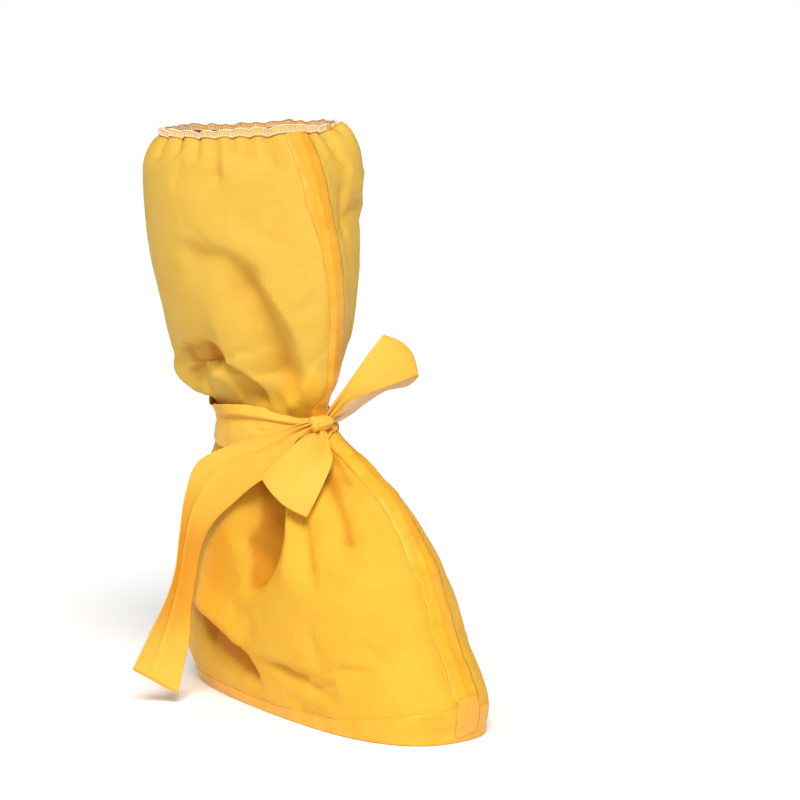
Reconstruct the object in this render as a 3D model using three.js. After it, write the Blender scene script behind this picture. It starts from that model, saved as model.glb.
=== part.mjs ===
// Anti-slip shoe cover for clean rooms and wards, in its worn form: a loose leg and foot of coated nonwoven
// with taped seams, a gathered elastic hem and a wide strap tied round the ankle in a half bow.
// Frame in millimetres: +Z up, the toe points to -Y, x = 0 is the plane of the front seam, and the origin
// lies on the inside of the sole, where the foot stands.
import * as THREE from 'three';

// Driving dimensions.
const WALL = 1.2;
const TAPE = 0.7;
const STRAP = 1;
const SOLE = 1.5;
const GAP = 0.35;
const LEG_TOP = 423;
const HEM_HEIGHT = 7;
const HEM_THICKNESS = 3.2;
const HEM_EDGE_THICKNESS = 1.9;
const SEAM_TAPE_WIDTH = 21;
const SEAM_CREST_ANGLE = 0.3;
const SOLE_TAPE_AT_TOE = 25;
const SOLE_TAPE_AT_HEEL = 13;
const WAIST = 213;
const BAND_HEIGHT = 34;
const BAND_NARROWED_AT_KNOT = 0.45;
const COLUMNS_NARROWED_BY_KNOT = 5;
const KNOT = { x: -10, y: -25, z: 215, wide: 24, deep: 14, high: 17 };

// Horizontal sections from sole to hem. front and back are y of the seam and of the heel side, half is the
// half width, blunt the power of the superellipse, taper the part of the width lost towards the back, and
// ridge how far the seam stands out as a crest.
const SECTIONS = [
  { z: 0, front: -167, back: 136, half: 68, blunt: 2.5, taper: 0.52, ridge: 0 },
  { z: 25, front: -169, back: 142, half: 69, blunt: 2.5, taper: 0.33, ridge: 0 },
  { z: 60, front: -148, back: 145, half: 70, blunt: 2.4, taper: 0.22, ridge: 0 },
  { z: 100, front: -129, back: 142, half: 68, blunt: 2.3, taper: 0.15, ridge: 1 },
  { z: 150, front: -93, back: 128, half: 57, blunt: 2, taper: 0.08, ridge: 3 },
  { z: 185, front: -51, back: 108, half: 46, blunt: 1.9, taper: 0, ridge: 4 },
  { z: 203, front: -22, back: 101, half: 40, blunt: 1.9, taper: 0, ridge: 3 },
  { z: 220, front: -7, back: 103, half: 38, blunt: 1.9, taper: 0, ridge: 3 },
  { z: 233, front: -6, back: 117, half: 43, blunt: 1.9, taper: 0, ridge: 6 },
  { z: 246, front: -10, back: 140, half: 57, blunt: 1.9, taper: 0, ridge: 8 },
  { z: 300, front: -18, back: 155, half: 68, blunt: 2, taper: 0, ridge: 9 },
  { z: 350, front: -14, back: 163, half: 76, blunt: 2, taper: 0, ridge: 7 },
  { z: 400, front: 0, back: 158, half: 78, blunt: 2, taper: 0, ridge: 3 },
  { z: 423, front: 13, back: 146, half: 67, blunt: 2, taper: 0, ridge: 1 },
];

// Main folds and dents. at is degrees round from the front seam (negative on the wearer's right), z the
// height, wide and tall the reach in degrees and millimetres, depth how far out, lean the degrees it drifts
// per mm up.
const FOLDS = [
  { at: -126, z: 242, wide: 26, tall: 14, depth: 13, lean: 0 },
  { at: -90, z: 251, wide: 15, tall: 14, depth: -7, lean: 0 },
  { at: 46, z: 208, wide: 25, tall: 20, depth: -8, lean: 0 },
  { at: 180, z: 243, wide: 40, tall: 15, depth: 8, lean: 0 },
  { at: 52, z: 268, wide: 24, tall: 34, depth: -6, lean: 0 },
  { at: 48, z: 396, wide: 40, tall: 30, depth: 9, lean: 0 },
  { at: -108, z: 400, wide: 50, tall: 40, depth: -4, lean: 0 },
  { at: -64, z: 335, wide: 24, tall: 10, depth: -4, lean: 0 },
  { at: -29, z: 300, wide: 10, tall: 38, depth: -6, lean: -0.25 },
  { at: -88, z: 138, wide: 19, tall: 34, depth: -13, lean: 0 },
  { at: -62, z: 130, wide: 10, tall: 36, depth: 4, lean: 0 },
  { at: -26, z: 148, wide: 10, tall: 24, depth: -4, lean: 0 },
  { at: -114, z: 78, wide: 22, tall: 14, depth: 6, lean: 0 },
  { at: -120, z: 42, wide: 14, tall: 28, depth: -7, lean: -0.76 },
  { at: 84, z: 140, wide: 18, tall: 34, depth: -9, lean: 0 },
  { at: 120, z: 96, wide: 30, tall: 15, depth: -6, lean: 0 },
];

// Gathers: waves round the section that fade with the distance from a gathered edge and only go inwards.
const GATHERS = [
  { z: LEG_TOP, waves: 14, depth: 4, fade: 22 },
  { z: WAIST, waves: 12, depth: 5, fade: 32 },
];

// Edges of the strap ends and of the loop, from the knot outwards: a is the upper or outer edge, b the other,
// and fold is how far the middle of the strap bows out of the line between them.
const LONG_TAIL = [
  { a: [-23.3, -23, 218], b: [-23.3, -26, 211], fold: 1 },
  { a: [-30, -13, 214], b: [-32, -20, 198], fold: 2 },
  { a: [-45, 6, 204], b: [-45, -16, 183], fold: 3 },
  { a: [-58, 34, 193], b: [-53, 4, 169], fold: 3 },
  { a: [-72, 49, 179], b: [-56, 26, 153], fold: 3 },
  { a: [-81, 52, 157], b: [-60, 46, 136], fold: 3 },
  { a: [-89, 50, 129], b: [-61, 60, 116], fold: 2 },
  { a: [-94, 49, 103], b: [-63, 65, 93], fold: 2 },
  { a: [-99, 54, 81], b: [-67, 66, 70], fold: 1 },
  { a: [-104, 65, 58], b: [-72, 62, 46], fold: 1 },
  { a: [-112, 80, 25], b: [-84, 61, 5], fold: 0 },
];
const SHORT_TAIL = [
  { a: [-16, -26, 206.4], b: [-6, -28.5, 206.2], fold: 0 },
  { a: [-33, -26, 192], b: [-15, -39, 197], fold: -3 },
  { a: [-45, -22, 182], b: [-20, -49, 188], fold: -4 },
  { a: [-54, -16, 171], b: [-29, -56, 178], fold: -4 },
  { a: [-54, -26, 160], b: [-39, -58, 166], fold: -2 },
  { a: [-52, -36, 155], b: [-46, -54, 154], fold: 0 },
];
const LOOP = [
  { a: [3, -24, 224], b: [4, -26, 213], fold: 1 },
  { a: [2, -33, 237], b: [6, -36, 227], fold: 2 },
  { a: [8, -36, 251], b: [15, -42, 234], fold: 3 },
  { a: [22, -37, 266], b: [30, -47, 238], fold: 3 },
  { a: [38, -40, 276], b: [53, -53, 246], fold: 1 },
  { a: [51, -33, 275], b: [64, -46, 247], fold: 0 },
  { a: [40, -25, 253], b: [52, -37, 238], fold: -2 },
  { a: [23, -22, 237], b: [34, -30, 227], fold: -2 },
  { a: [11, -21, 226], b: [16, -25, 218], fold: -1 },
  { a: [4, -19, 221], b: [6, -21, 213], fold: 0 },
];

// Facets, and the step along the cloth over which its slope is measured.
const COLUMNS_PER_SIDE = 28;
const COLUMNS = 2 * COLUMNS_PER_SIDE;
const OUTLINE_STEPS = 120;
const TOE_PATCH_COLUMNS = 2;
const STRAP_COLUMNS = 5;
const ROWS_PER_STRAP_STATION = 2;
const SLOPE_STEP = 2;

// The values of a table's named columns at height z, smooth from row to row.
function tableReader(rows, keys) {
  const heights = rows.map((row) => row.z);
  const values = rows.flatMap((row) => keys.map((key) => row[key]));
  const curve = new THREE.CubicInterpolant(heights, values, keys.length);
  return (z) => {
    const read = curve.evaluate(THREE.MathUtils.clamp(z, heights[0], heights[heights.length - 1]));
    return Object.fromEntries(keys.map((key, place) => [key, read[place]]));
  };
}

const sectionAt = tableReader(SECTIONS, ['front', 'back', 'half', 'blunt', 'taper', 'ridge']);

// Half of the section's outline at height z, from the front seam round to the back, with its length so far.
function halfOutline(z) {
  const { front, back, half, blunt, taper, ridge } = sectionAt(z);
  const middle = (front + back) / 2;
  const depth = (back - front) / 2;
  const points = [];
  let length = 0;
  for (let step = 0; step <= OUTLINE_STEPS; step += 1) {
    const angle = (Math.PI * step) / OUTLINE_STEPS;
    const reach = (Math.abs(Math.cos(angle)) ** blunt + Math.sin(angle) ** blunt) ** (-1 / blunt);
    const crest = ridge * Math.exp(-((angle / SEAM_CREST_ANGLE) ** 2));
    const y = middle - depth * reach * Math.cos(angle) - crest;
    const narrowed = 1 - taper * ((y - front) / (back - front));
    const x = half * reach * Math.sin(angle) * narrowed;
    const point = new THREE.Vector2(x, y);
    if (step > 0) {
      length += point.distanceTo(points[step - 1].point);
    }
    points.push({ point, length });
  }
  return { points, length };
}

const outlines = new Map();
function outlineAt(z) {
  if (!outlines.has(z)) {
    outlines.set(z, halfOutline(z));
  }
  return outlines.get(z);
}

// How far the folds, and the gathers unless they are left out, move the cloth outwards.
function foldDepth(at, z, gathered) {
  let depth = 0;
  for (const fold of FOLDS) {
    const across = (at - fold.at - fold.lean * (z - fold.z)) / fold.wide;
    const along = (z - fold.z) / fold.tall;
    depth += fold.depth * Math.exp(-across * across - along * along);
  }
  if (gathered) {
    for (const { z: edge, waves, depth: deep, fade } of GATHERS) {
      const wave = (Math.cos((waves * at * Math.PI) / 180) - 1) / 2;
      depth += deep * wave * Math.exp(-Math.abs(z - edge) / fade);
    }
  }
  return depth;
}

// A point of the cloth's outer face at a signed distance round from the seam: negative on the wearer's right,
// and past the back it goes on round the other side.
function clothPoint(signedArc, z, gathered) {
  const { points, length } = outlineAt(z);
  const pastBack = Math.abs(signedArc) > length;
  const reached = pastBack ? 2 * length - Math.abs(signedArc) : Math.abs(signedArc);
  const side = signedArc < 0 === pastBack ? 1 : -1;
  let next = 1;
  while (next < points.length - 1 && points[next].length < reached) {
    next += 1;
  }
  const from = points[next - 1];
  const to = points[next];
  const share = (reached - from.length) / (to.length - from.length);
  const flat = from.point.clone().lerp(to.point, share);
  const along = to.point.clone().sub(from.point).normalize();
  const depth = foldDepth((side * 180 * reached) / length, z, gathered);
  return new THREE.Vector3(side * (flat.x + depth * along.y), flat.y - depth * along.x, z);
}

// Columns run round from the seam: 0 is its middle, 1 and -1 are the tape's edges, the rest are evenly
// spaced.
function signedColumn(column) {
  return column <= COLUMNS_PER_SIDE ? column : column - COLUMNS;
}

function columnArc(column, z) {
  const steps = Math.abs(column);
  const tapeEdge = SEAM_TAPE_WIDTH / 2;
  if (steps <= 1) {
    return steps * tapeEdge;
  }
  return tapeEdge + ((outlineAt(z).length - tapeEdge) * (steps - 1)) / (COLUMNS_PER_SIDE - 1);
}

// Share of the way from the toe or the front (0) to the heel or the back (1) at a column.
function towardsBack(column) {
  return (1 - Math.cos((Math.PI * Math.abs(column)) / COLUMNS_PER_SIDE)) / 2;
}

// Rows run up in stretches between the lines that the tapes and the band follow.
function soleTapeTop(column) {
  return THREE.MathUtils.lerp(SOLE_TAPE_AT_TOE, SOLE_TAPE_AT_HEEL, towardsBack(column));
}

function bandHalfHeight(column) {
  const nearKnot = Math.exp(-((column / COLUMNS_NARROWED_BY_KNOT) ** 2));
  return (BAND_HEIGHT / 2) * (1 - BAND_NARROWED_AT_KNOT * nearKnot);
}

const STRETCHES = [
  { rows: 2, from: () => GAP },
  { rows: 8, from: soleTapeTop },
  { rows: 4, from: (column) => WAIST - bandHalfHeight(column) },
  { rows: 10, from: (column) => WAIST + bandHalfHeight(column) },
  { rows: 0, from: () => LEG_TOP },
];
const TAPE_ROW = STRETCHES[0].rows;
const BAND_ROW = TAPE_ROW + STRETCHES[1].rows;
const BAND_TOP_ROW = BAND_ROW + STRETCHES[2].rows;
const ROWS = BAND_TOP_ROW + STRETCHES[3].rows;

function rowHeight(row, column) {
  let first = 0;
  for (let index = 0; index < STRETCHES.length - 1; index += 1) {
    const { rows, from } = STRETCHES[index];
    if (row <= first + rows) {
      const top = STRETCHES[index + 1].from(column);
      return THREE.MathUtils.lerp(from(column), top, (row - first) / rows);
    }
    first += rows;
  }
  return LEG_TOP;
}

// A point on the cloth at a column and height, moved out by offset along the cloth's normal.
function skin(column, z, offset, gathered = true) {
  const arc = Math.sign(column) * columnArc(column, z);
  const ahead = clothPoint(arc + SLOPE_STEP, z, gathered);
  const behind = clothPoint(arc - SLOPE_STEP, z, gathered);
  const higher = clothPoint(arc, Math.min(z + SLOPE_STEP, LEG_TOP), gathered);
  const lower = clothPoint(arc, Math.max(z - SLOPE_STEP, 0), gathered);
  const normal = ahead.sub(behind).cross(higher.sub(lower)).normalize();
  return clothPoint(arc, z, gathered).addScaledVector(normal, offset);
}

// A closed solid from a grid of cells with an inner (layer 0) and an outer (layer 1) face. wraps joins the
// last column to the first; place gives the vertex of a column, row and layer.
function sheetSolid(across, along, wraps, place) {
  const columns = wraps ? across : across + 1;
  const positions = [];
  for (const layer of [0, 1]) {
    for (let row = 0; row <= along; row += 1) {
      for (let column = 0; column < columns; column += 1) {
        positions.push(...place(column, row, layer).toArray());
      }
    }
  }
  const vertex = (layer, column, row) => (layer * (along + 1) + row) * columns + (column % columns);
  const indices = [];
  const quad = (a, b, c, d) => indices.push(a, b, c, a, c, d);
  for (let row = 0; row < along; row += 1) {
    for (let column = 0; column < across; column += 1) {
      const corner = (layer, right, up) => vertex(layer, column + right, row + up);
      quad(corner(1, 0, 0), corner(1, 1, 0), corner(1, 1, 1), corner(1, 0, 1));
      indices.push(corner(0, 0, 0), corner(0, 1, 1), corner(0, 1, 0));
      indices.push(corner(0, 0, 0), corner(0, 0, 1), corner(0, 1, 1));
    }
  }
  const rim = (...corners) => quad(...corners.map((corner) => vertex(...corner)));
  for (let column = 0; column < across; column += 1) {
    const next = column + 1;
    rim([0, column, 0], [0, next, 0], [1, next, 0], [1, column, 0]);
    rim([1, column, along], [1, next, along], [0, next, along], [0, column, along]);
  }
  for (let row = 0; row < along && !wraps; row += 1) {
    const next = row + 1;
    rim([0, 0, next], [0, 0, row], [1, 0, row], [1, 0, next]);
    rim([0, across, row], [0, across, next], [1, across, next], [1, across, row]);
  }
  const geometry = new THREE.BufferGeometry();
  geometry.setAttribute('position', new THREE.Float32BufferAttribute(positions, 3));
  geometry.setIndex(indices);
  geometry.computeVertexNormals();
  return geometry;
}

function piece(name, geometry, color, roughness) {
  const material = new THREE.MeshStandardMaterial({ color, roughness, metalness: 0 });
  const mesh = new THREE.Mesh(geometry, material);
  mesh.name = name;
  return mesh;
}

function upper() {
  const geometry = sheetSolid(COLUMNS, ROWS, true, (place, row, layer) => {
    const column = signedColumn(place);
    return skin(column, rowHeight(row, column), layer === 1 ? 0 : -WALL);
  });
  return piece('upper', geometry, 0xf0c45c, 0.5);
}

function sole() {
  const outline = [];
  for (let place = 0; place < COLUMNS; place += 1) {
    const { x, y } = skin(signedColumn(place), 0, 0);
    outline.push(new THREE.Vector2(x, y));
  }
  const geometry = new THREE.ExtrudeGeometry(new THREE.Shape(outline), { depth: SOLE, bevelEnabled: false });
  geometry.translate(0, 0, -SOLE);
  return piece('sole', geometry, 0xe9b04a, 0.85);
}

function soleSeamTape() {
  const underlap = SOLE - GAP;
  const geometry = sheetSolid(COLUMNS, TAPE_ROW, true, (place, row, layer) => {
    const column = signedColumn(place);
    const z = row === 0 ? -underlap : rowHeight(row, column);
    return skin(column, z, GAP + layer * TAPE);
  });
  return piece('sole_seam_tape', geometry, 0xfdb336, 0.4);
}

function frontSeamTape() {
  const rows = ROWS - TAPE_ROW;
  const geometry = sheetSolid(2, rows, false, (place, row, layer) => {
    const column = place - 1;
    const z = rowHeight(row + TAPE_ROW, column);
    const inset = row === 0 ? GAP : 0;
    const drop = row === rows ? GAP : 0;
    return skin(column, z + inset - drop, GAP + layer * TAPE);
  });
  return piece('front_seam_tape', geometry, 0xfdc43c, 0.35);
}

function toePatch() {
  const rows = TAPE_ROW + 1;
  const under = 2 * GAP + TAPE;
  const geometry = sheetSolid(2 * TOE_PATCH_COLUMNS, rows, false, (place, row, layer) => {
    const column = place - TOE_PATCH_COLUMNS;
    return skin(column, rowHeight(row, column), under + layer * TAPE);
  });
  return piece('toe_patch', geometry, 0xfeb93f, 0.4);
}

function topElasticHem() {
  const middle = -WALL / 2;
  const thicknesses = [HEM_EDGE_THICKNESS, HEM_THICKNESS, HEM_EDGE_THICKNESS];
  const rows = thicknesses.length - 1;
  const geometry = sheetSolid(COLUMNS, rows, true, (place, row, layer) => {
    const column = signedColumn(place);
    const rim = skin(column, LEG_TOP, middle + (layer - 0.5) * thicknesses[row]);
    rim.z = LEG_TOP + GAP + (HEM_HEIGHT * row) / rows;
    return rim;
  });
  return piece('top_elastic_hem', geometry, 0xfbe3b4, 0.8);
}

function ankleBand() {
  const under = 2 * GAP + TAPE;
  const rows = BAND_TOP_ROW - BAND_ROW;
  const geometry = sheetSolid(COLUMNS, rows, true, (place, row, layer) => {
    const column = signedColumn(place);
    return skin(column, rowHeight(row + BAND_ROW, column), under + layer * STRAP, false);
  });
  return piece('ankle_band', geometry, 0xf2bd48, 0.5);
}

function bowKnot() {
  const geometry = new THREE.SphereGeometry(0.5, 16, 10);
  geometry.scale(KNOT.wide, KNOT.deep, KNOT.high);
  const mesh = piece('bow_knot', geometry, 0xf6c65c, 0.5);
  mesh.position.set(KNOT.x, KNOT.y, KNOT.z);
  return mesh;
}

// A strap end as a sheet between two smooth edges.
function strapSheet(name, stations, color) {
  const edgeA = new THREE.CatmullRomCurve3(stations.map((station) => new THREE.Vector3(...station.a)));
  const edgeB = new THREE.CatmullRomCurve3(stations.map((station) => new THREE.Vector3(...station.b)));
  const rows = (stations.length - 1) * ROWS_PER_STRAP_STATION;
  const geometry = sheetSolid(STRAP_COLUMNS, rows, false, (column, row, layer) => {
    const along = row / rows;
    const share = column / STRAP_COLUMNS;
    const from = edgeA.getPoint(along);
    const to = edgeB.getPoint(along);
    const across = to.clone().sub(from);
    const ahead = edgeA.getTangent(along).add(edgeB.getTangent(along));
    const normal = across.clone().cross(ahead).normalize();
    const station = along * (stations.length - 1);
    const low = Math.floor(station);
    const high = Math.min(low + 1, stations.length - 1);
    const fold = THREE.MathUtils.lerp(stations[low].fold, stations[high].fold, station - low);
    const out = fold * Math.sin(Math.PI * share) + (layer - 0.5) * STRAP;
    return from.addScaledVector(across, share).addScaledVector(normal, out);
  });
  return piece(name, geometry, color, 0.5);
}

const cover = new THREE.Group();
cover.add(upper(), sole(), soleSeamTape(), frontSeamTape(), toePatch(), topElasticHem());
cover.add(ankleBand(), bowKnot());
cover.add(strapSheet('bow_loop', LOOP, 0xfecd58));
cover.add(strapSheet('long_tail', LONG_TAIL, 0xfed55e));
cover.add(strapSheet('short_tail', SHORT_TAIL, 0xfec644));

export default cover;
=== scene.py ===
import math
from collections import namedtuple

import bpy
import numpy as np
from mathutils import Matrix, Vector


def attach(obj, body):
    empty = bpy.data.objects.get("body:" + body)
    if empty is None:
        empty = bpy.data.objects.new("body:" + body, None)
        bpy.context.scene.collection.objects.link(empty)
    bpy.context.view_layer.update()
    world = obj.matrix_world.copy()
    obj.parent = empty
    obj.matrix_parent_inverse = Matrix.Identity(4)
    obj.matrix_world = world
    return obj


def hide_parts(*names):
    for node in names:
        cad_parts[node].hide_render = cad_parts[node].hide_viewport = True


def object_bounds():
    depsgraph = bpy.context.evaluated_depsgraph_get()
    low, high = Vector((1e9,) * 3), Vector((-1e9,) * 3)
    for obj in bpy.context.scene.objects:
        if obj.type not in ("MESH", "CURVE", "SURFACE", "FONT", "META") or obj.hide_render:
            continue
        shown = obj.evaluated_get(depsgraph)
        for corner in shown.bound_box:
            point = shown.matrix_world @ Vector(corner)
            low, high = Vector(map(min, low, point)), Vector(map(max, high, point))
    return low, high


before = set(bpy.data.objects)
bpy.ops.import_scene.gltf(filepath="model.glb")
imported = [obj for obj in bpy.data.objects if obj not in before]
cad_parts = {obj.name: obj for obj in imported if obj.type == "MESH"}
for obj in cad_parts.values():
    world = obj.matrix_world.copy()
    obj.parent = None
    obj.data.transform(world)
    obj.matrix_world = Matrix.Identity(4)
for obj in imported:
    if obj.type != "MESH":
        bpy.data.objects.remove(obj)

cad_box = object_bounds()


# The cover stands on a wide pale floor in a plain white studio. The camera looks at it through a long
# lens, from in front on the wearer's right and a little above; the sun lamps stand for large soft boxes.
CAMERA_AZIMUTH = math.radians(-40)
CAMERA_PITCH = math.radians(7.3)
CAMERA_DISTANCE = 2.25
CAMERA_HEIGHT = 0.5086
CAMERA_ASIDE = 0.1142
LEG_AXIS = Vector((0.0, 0.078, 0.0))
LENS_LENGTH = 133.02
FLOOR_SIZE = 900.0
FLOOR_BELOW = 0.0005
FLOOR_GREY = 0.93
FLOOR_GLOW = 0.14
SKY_AT_HORIZON = 1.0
SKY_OVERHEAD = 0.17
# The sky darkens upwards between these two heights of a unit direction.
SKY_DARKENS_FROM = 0.02
SKY_DARKENS_TO = 0.06

to_camera = Vector((math.sin(CAMERA_AZIMUTH), -math.cos(CAMERA_AZIMUTH), 0.0))
to_right = Vector((math.cos(CAMERA_AZIMUTH), math.sin(CAMERA_AZIMUTH), 0.0))
camera_place = LEG_AXIS + CAMERA_DISTANCE * to_camera + CAMERA_ASIDE * to_right
camera_place.z = CAMERA_HEIGHT
bpy.ops.object.select_all(action="DESELECT")
bpy.ops.object.camera_add(location=camera_place, rotation=(math.pi / 2 - CAMERA_PITCH, 0, CAMERA_AZIMUTH))
camera = bpy.context.object
camera.name = "camera"
camera.data.lens = LENS_LENGTH
camera.data.clip_end = 900.0
bpy.context.scene.camera = camera


def studio_lamp(name, azimuth, elevation, power, softness, tint):
    """A soft light from a compass direction, azimuth 0 in front of the toe and positive to its left."""
    bpy.ops.object.light_add(type="SUN", location=(0, 0, 3))
    lamp = bpy.context.object
    lamp.name = name
    lamp.data.energy = power
    lamp.data.angle = math.radians(softness)
    lamp.data.color = tint
    lamp.rotation_euler = (math.radians(90 - elevation), 0, math.radians(azimuth))


studio_lamp("key_light", -38, 51, 3.2, 30, (1.0, 0.985, 0.96))
studio_lamp("fill_light", -105, 25, 0.15, 80, (0.98, 0.99, 1.0))

world = bpy.data.worlds.new("studio")
world.use_nodes = True
sky_tree = world.node_tree
sky = sky_tree.nodes["Background"]
sky.inputs["Color"].default_value = (1.0, 1.0, 1.0, 1.0)
direction = sky_tree.nodes.new("ShaderNodeTexCoord")
parts = sky_tree.nodes.new("ShaderNodeSeparateXYZ")
height = sky_tree.nodes.new("ShaderNodeMapRange")
height.inputs["From Min"].default_value = SKY_DARKENS_FROM
height.inputs["From Max"].default_value = SKY_DARKENS_TO
height.inputs["To Min"].default_value = SKY_AT_HORIZON
height.inputs["To Max"].default_value = SKY_OVERHEAD
sky_tree.links.new(direction.outputs["Generated"], parts.inputs[0])
sky_tree.links.new(parts.outputs["Z"], height.inputs["Value"])
sky_tree.links.new(height.outputs[0], sky.inputs["Strength"])
bpy.context.scene.world = world
bpy.context.scene.view_settings.view_transform = "Standard"

bpy.ops.mesh.primitive_plane_add(size=FLOOR_SIZE, location=(0, 0, cad_box[0][2] - FLOOR_BELOW))
floor = bpy.context.object
floor.name = "studio_floor"
floor_paint = bpy.data.materials.new("floor_paint")
floor_paint.use_nodes = True
floor_look = floor_paint.node_tree.nodes["Principled BSDF"].inputs
floor_look["Base Color"].default_value = (FLOOR_GREY, FLOOR_GREY, FLOOR_GREY, 1)
floor_look["Roughness"].default_value = 0.9
floor_look["Specular IOR Level"].default_value = 0.0
floor_look["Emission Color"].default_value = (1, 1, 1, 1)
floor_look["Emission Strength"].default_value = FLOOR_GLOW
floor.data.materials.append(floor_paint)


# The sole: a sheet of coated nonwoven cut to the shape of the foot, with rows of anti-slip dots
# printed on its underside. The upper is sewn to its edge all the way round.
# Sizes are in millimetres from here on, unless a comment says otherwise; MM makes them metres.
MM = 0.001
# The cover's outline at heights over the floor: the places of its front and back, half its width, how
# blunt it is (2 is an ellipse), how much it narrows to the back, and how far the front seam stands out.
Section = namedtuple("Section", "z front back half blunt taper ridge")
SECTIONS = [Section(*row) for row in (
    (0, -167, 136, 68, 2.5, 0.52, 0),
    (25, -169, 142, 69, 2.5, 0.33, 0),
    (60, -148, 145, 70, 2.4, 0.22, 0),
    (100, -129, 142, 68, 2.3, 0.15, 1),
    (150, -93, 128, 57, 2.0, 0.08, 3),
    (185, -51, 108, 46, 1.9, 0, 4),
    (203, -22, 101, 40, 1.9, 0, 3),
    (220, -7, 103, 38, 1.9, 0, 3),
    (233, -6, 117, 43, 1.9, 0, 6),
    (246, -10, 140, 57, 1.9, 0, 8),
    (300, -18, 155, 68, 2.0, 0, 9),
    (350, -14, 163, 76, 2.0, 0, 7),
    (400, 0, 158, 78, 2.0, 0, 3),
    (423, 13, 146, 67, 2.0, 0, 1),
)]
CREST_ANGLE = 0.3
OUTLINE_STEPS = 240


def part_way(value, start, over):
    """The share of the way that a value has gone from a start over a distance, kept between 0 and 1."""
    return np.clip((value - start) / over, 0, 1)


def hump(value, wide, power=2):
    """1 at 0, falling to nothing at either side; a higher power makes it flatter in the middle."""
    return np.exp(-(np.abs(value / wide) ** power))


def section_at(z):
    """The outline's numbers at height z, on smooth curves through the table's rows."""
    table = np.array(SECTIONS, float)
    heights = table[:, 0]
    low = int(np.clip(np.searchsorted(heights, z) - 1, 0, len(SECTIONS) - 2))
    before, after = max(low - 1, 0), min(low + 2, len(SECTIONS) - 1)
    span = heights[low + 1] - heights[low]
    leave = (table[low + 1] - table[before]) / (heights[low + 1] - heights[before]) * span
    arrive = (table[after] - table[low]) / (heights[after] - heights[low]) * span
    t = part_way(z, heights[low], span)
    start, stop = table[low], table[low + 1]
    return Section(*((2 * t ** 3 - 3 * t ** 2 + 1) * start + (t ** 3 - 2 * t ** 2 + t) * leave
                     + (3 * t ** 2 - 2 * t ** 3) * stop + (t ** 3 - t ** 2) * arrive))


def half_outline(z):
    """Half of the outline at height z, from the front seam round to the back, with its length so far."""
    row = section_at(z)
    angle = np.linspace(0, np.pi, OUTLINE_STEPS + 1)
    reach = (np.abs(np.cos(angle)) ** row.blunt + np.abs(np.sin(angle)) ** row.blunt) ** (-1 / row.blunt)
    crest = row.ridge * hump(angle, CREST_ANGLE)
    y = (row.front + row.back) / 2 - (row.back - row.front) / 2 * reach * np.cos(angle) - crest
    x = row.half * reach * np.sin(angle) * (1 - row.taper * (y - row.front) / (row.back - row.front))
    length = np.concatenate([[0], np.cumsum(np.hypot(np.diff(x), np.diff(y)))])
    return x, y, length


def link(name, vertices, faces, smooth=True):
    """A new piece in the scene, from vertices in metres and faces."""
    mesh = bpy.data.meshes.new(name)
    mesh.from_pydata(np.asarray(vertices, float).reshape(-1, 3).tolist(), [], faces)
    if smooth:
        mesh.shade_smooth()
    piece = bpy.data.objects.new(name, mesh)
    bpy.context.collection.objects.link(piece)
    return piece


def finish_with(piece, name, kind, **values):
    """Adds a modifier to a piece, sets its values and applies it."""
    bpy.ops.object.select_all(action="DESELECT")
    piece.select_set(True)
    bpy.context.view_layer.objects.active = piece
    modifier = piece.modifiers.new(name, kind)
    for key, value in values.items():
        setattr(modifier, key, value)
    bpy.ops.object.modifier_apply(modifier=modifier.name)


class Paint:
    """A node material under construction: add() makes a node, join() links two sockets."""

    def __init__(self, name):
        self.material = bpy.data.materials.new(name)
        self.material.use_nodes = True
        self.tree = self.material.node_tree
        self.shader = self.tree.nodes["Principled BSDF"]

    def finish(self, colour, normal, **values):
        """The finished material: its colour and normal, and a number or a socket for other inputs."""
        for key, value in dict(values, Base_Color=colour, Normal=normal).items():
            socket = self.shader.inputs[key.replace("_", " ")]
            if isinstance(value, (int, float)):
                socket.default_value = value
            else:
                self.tree.links.new(value, socket)
        return self.material

    def add(self, kind, **values):
        node = self.tree.nodes.new(kind)
        for key, value in values.items():
            if hasattr(node, key):
                setattr(node, key, value)
            else:
                node.inputs[key.replace("_", " ")].default_value = value
        return node

    def join(self, source, target, socket):
        self.tree.links.new(source, target.inputs[socket])

    def math(self, operation, first, second):
        node = self.add("ShaderNodeMath", operation=operation)
        self.join(first, node, 0)
        self.join(second, node, 1)
        return node.outputs[0]

    def blend(self, share, low, high):
        """A colour between two colours or sockets."""
        node = self.add("ShaderNodeMix", data_type="RGBA")
        self.join(share, node, 0)
        for place, value in ((6, low), (7, high)):
            if isinstance(value, tuple):
                node.inputs[place].default_value = (*value, 1)
            else:
                self.join(value, node, place)
        return node.outputs[2]

    def turned_by(self, attribute, colour, other):
        """The colour, turned to another one where the piece's attribute says so."""
        share = self.add("ShaderNodeAttribute", attribute_name=attribute).outputs["Fac"]
        return self.blend(share, colour, other)

    def ramp(self, value, low, high, from_low=0.0, from_high=1.0):
        """Numbers from low to high, as the value goes from from_low to from_high."""
        node = self.add("ShaderNodeMapRange", From_Min=from_low, From_Max=from_high, To_Min=low, To_Max=high)
        self.join(value, node, "Value")
        return node.outputs[0]

    def bump(self, height, strength, distance, below=None):
        node = self.add("ShaderNodeBump", Strength=strength, Distance=distance)
        self.join(height, node, "Height")
        if below is not None:
            self.join(below, node, "Normal")
        return node.outputs[0]

    def noise(self, scale, detail=3.0, roughness=0.5):
        node = self.add("ShaderNodeTexNoise", Scale=scale, Detail=detail, Roughness=roughness)
        self.join(self.add("ShaderNodeTexCoord").outputs["Object"], node, "Vector")
        return node.outputs["Fac"]


GRAIN_TURN = 38


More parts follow.
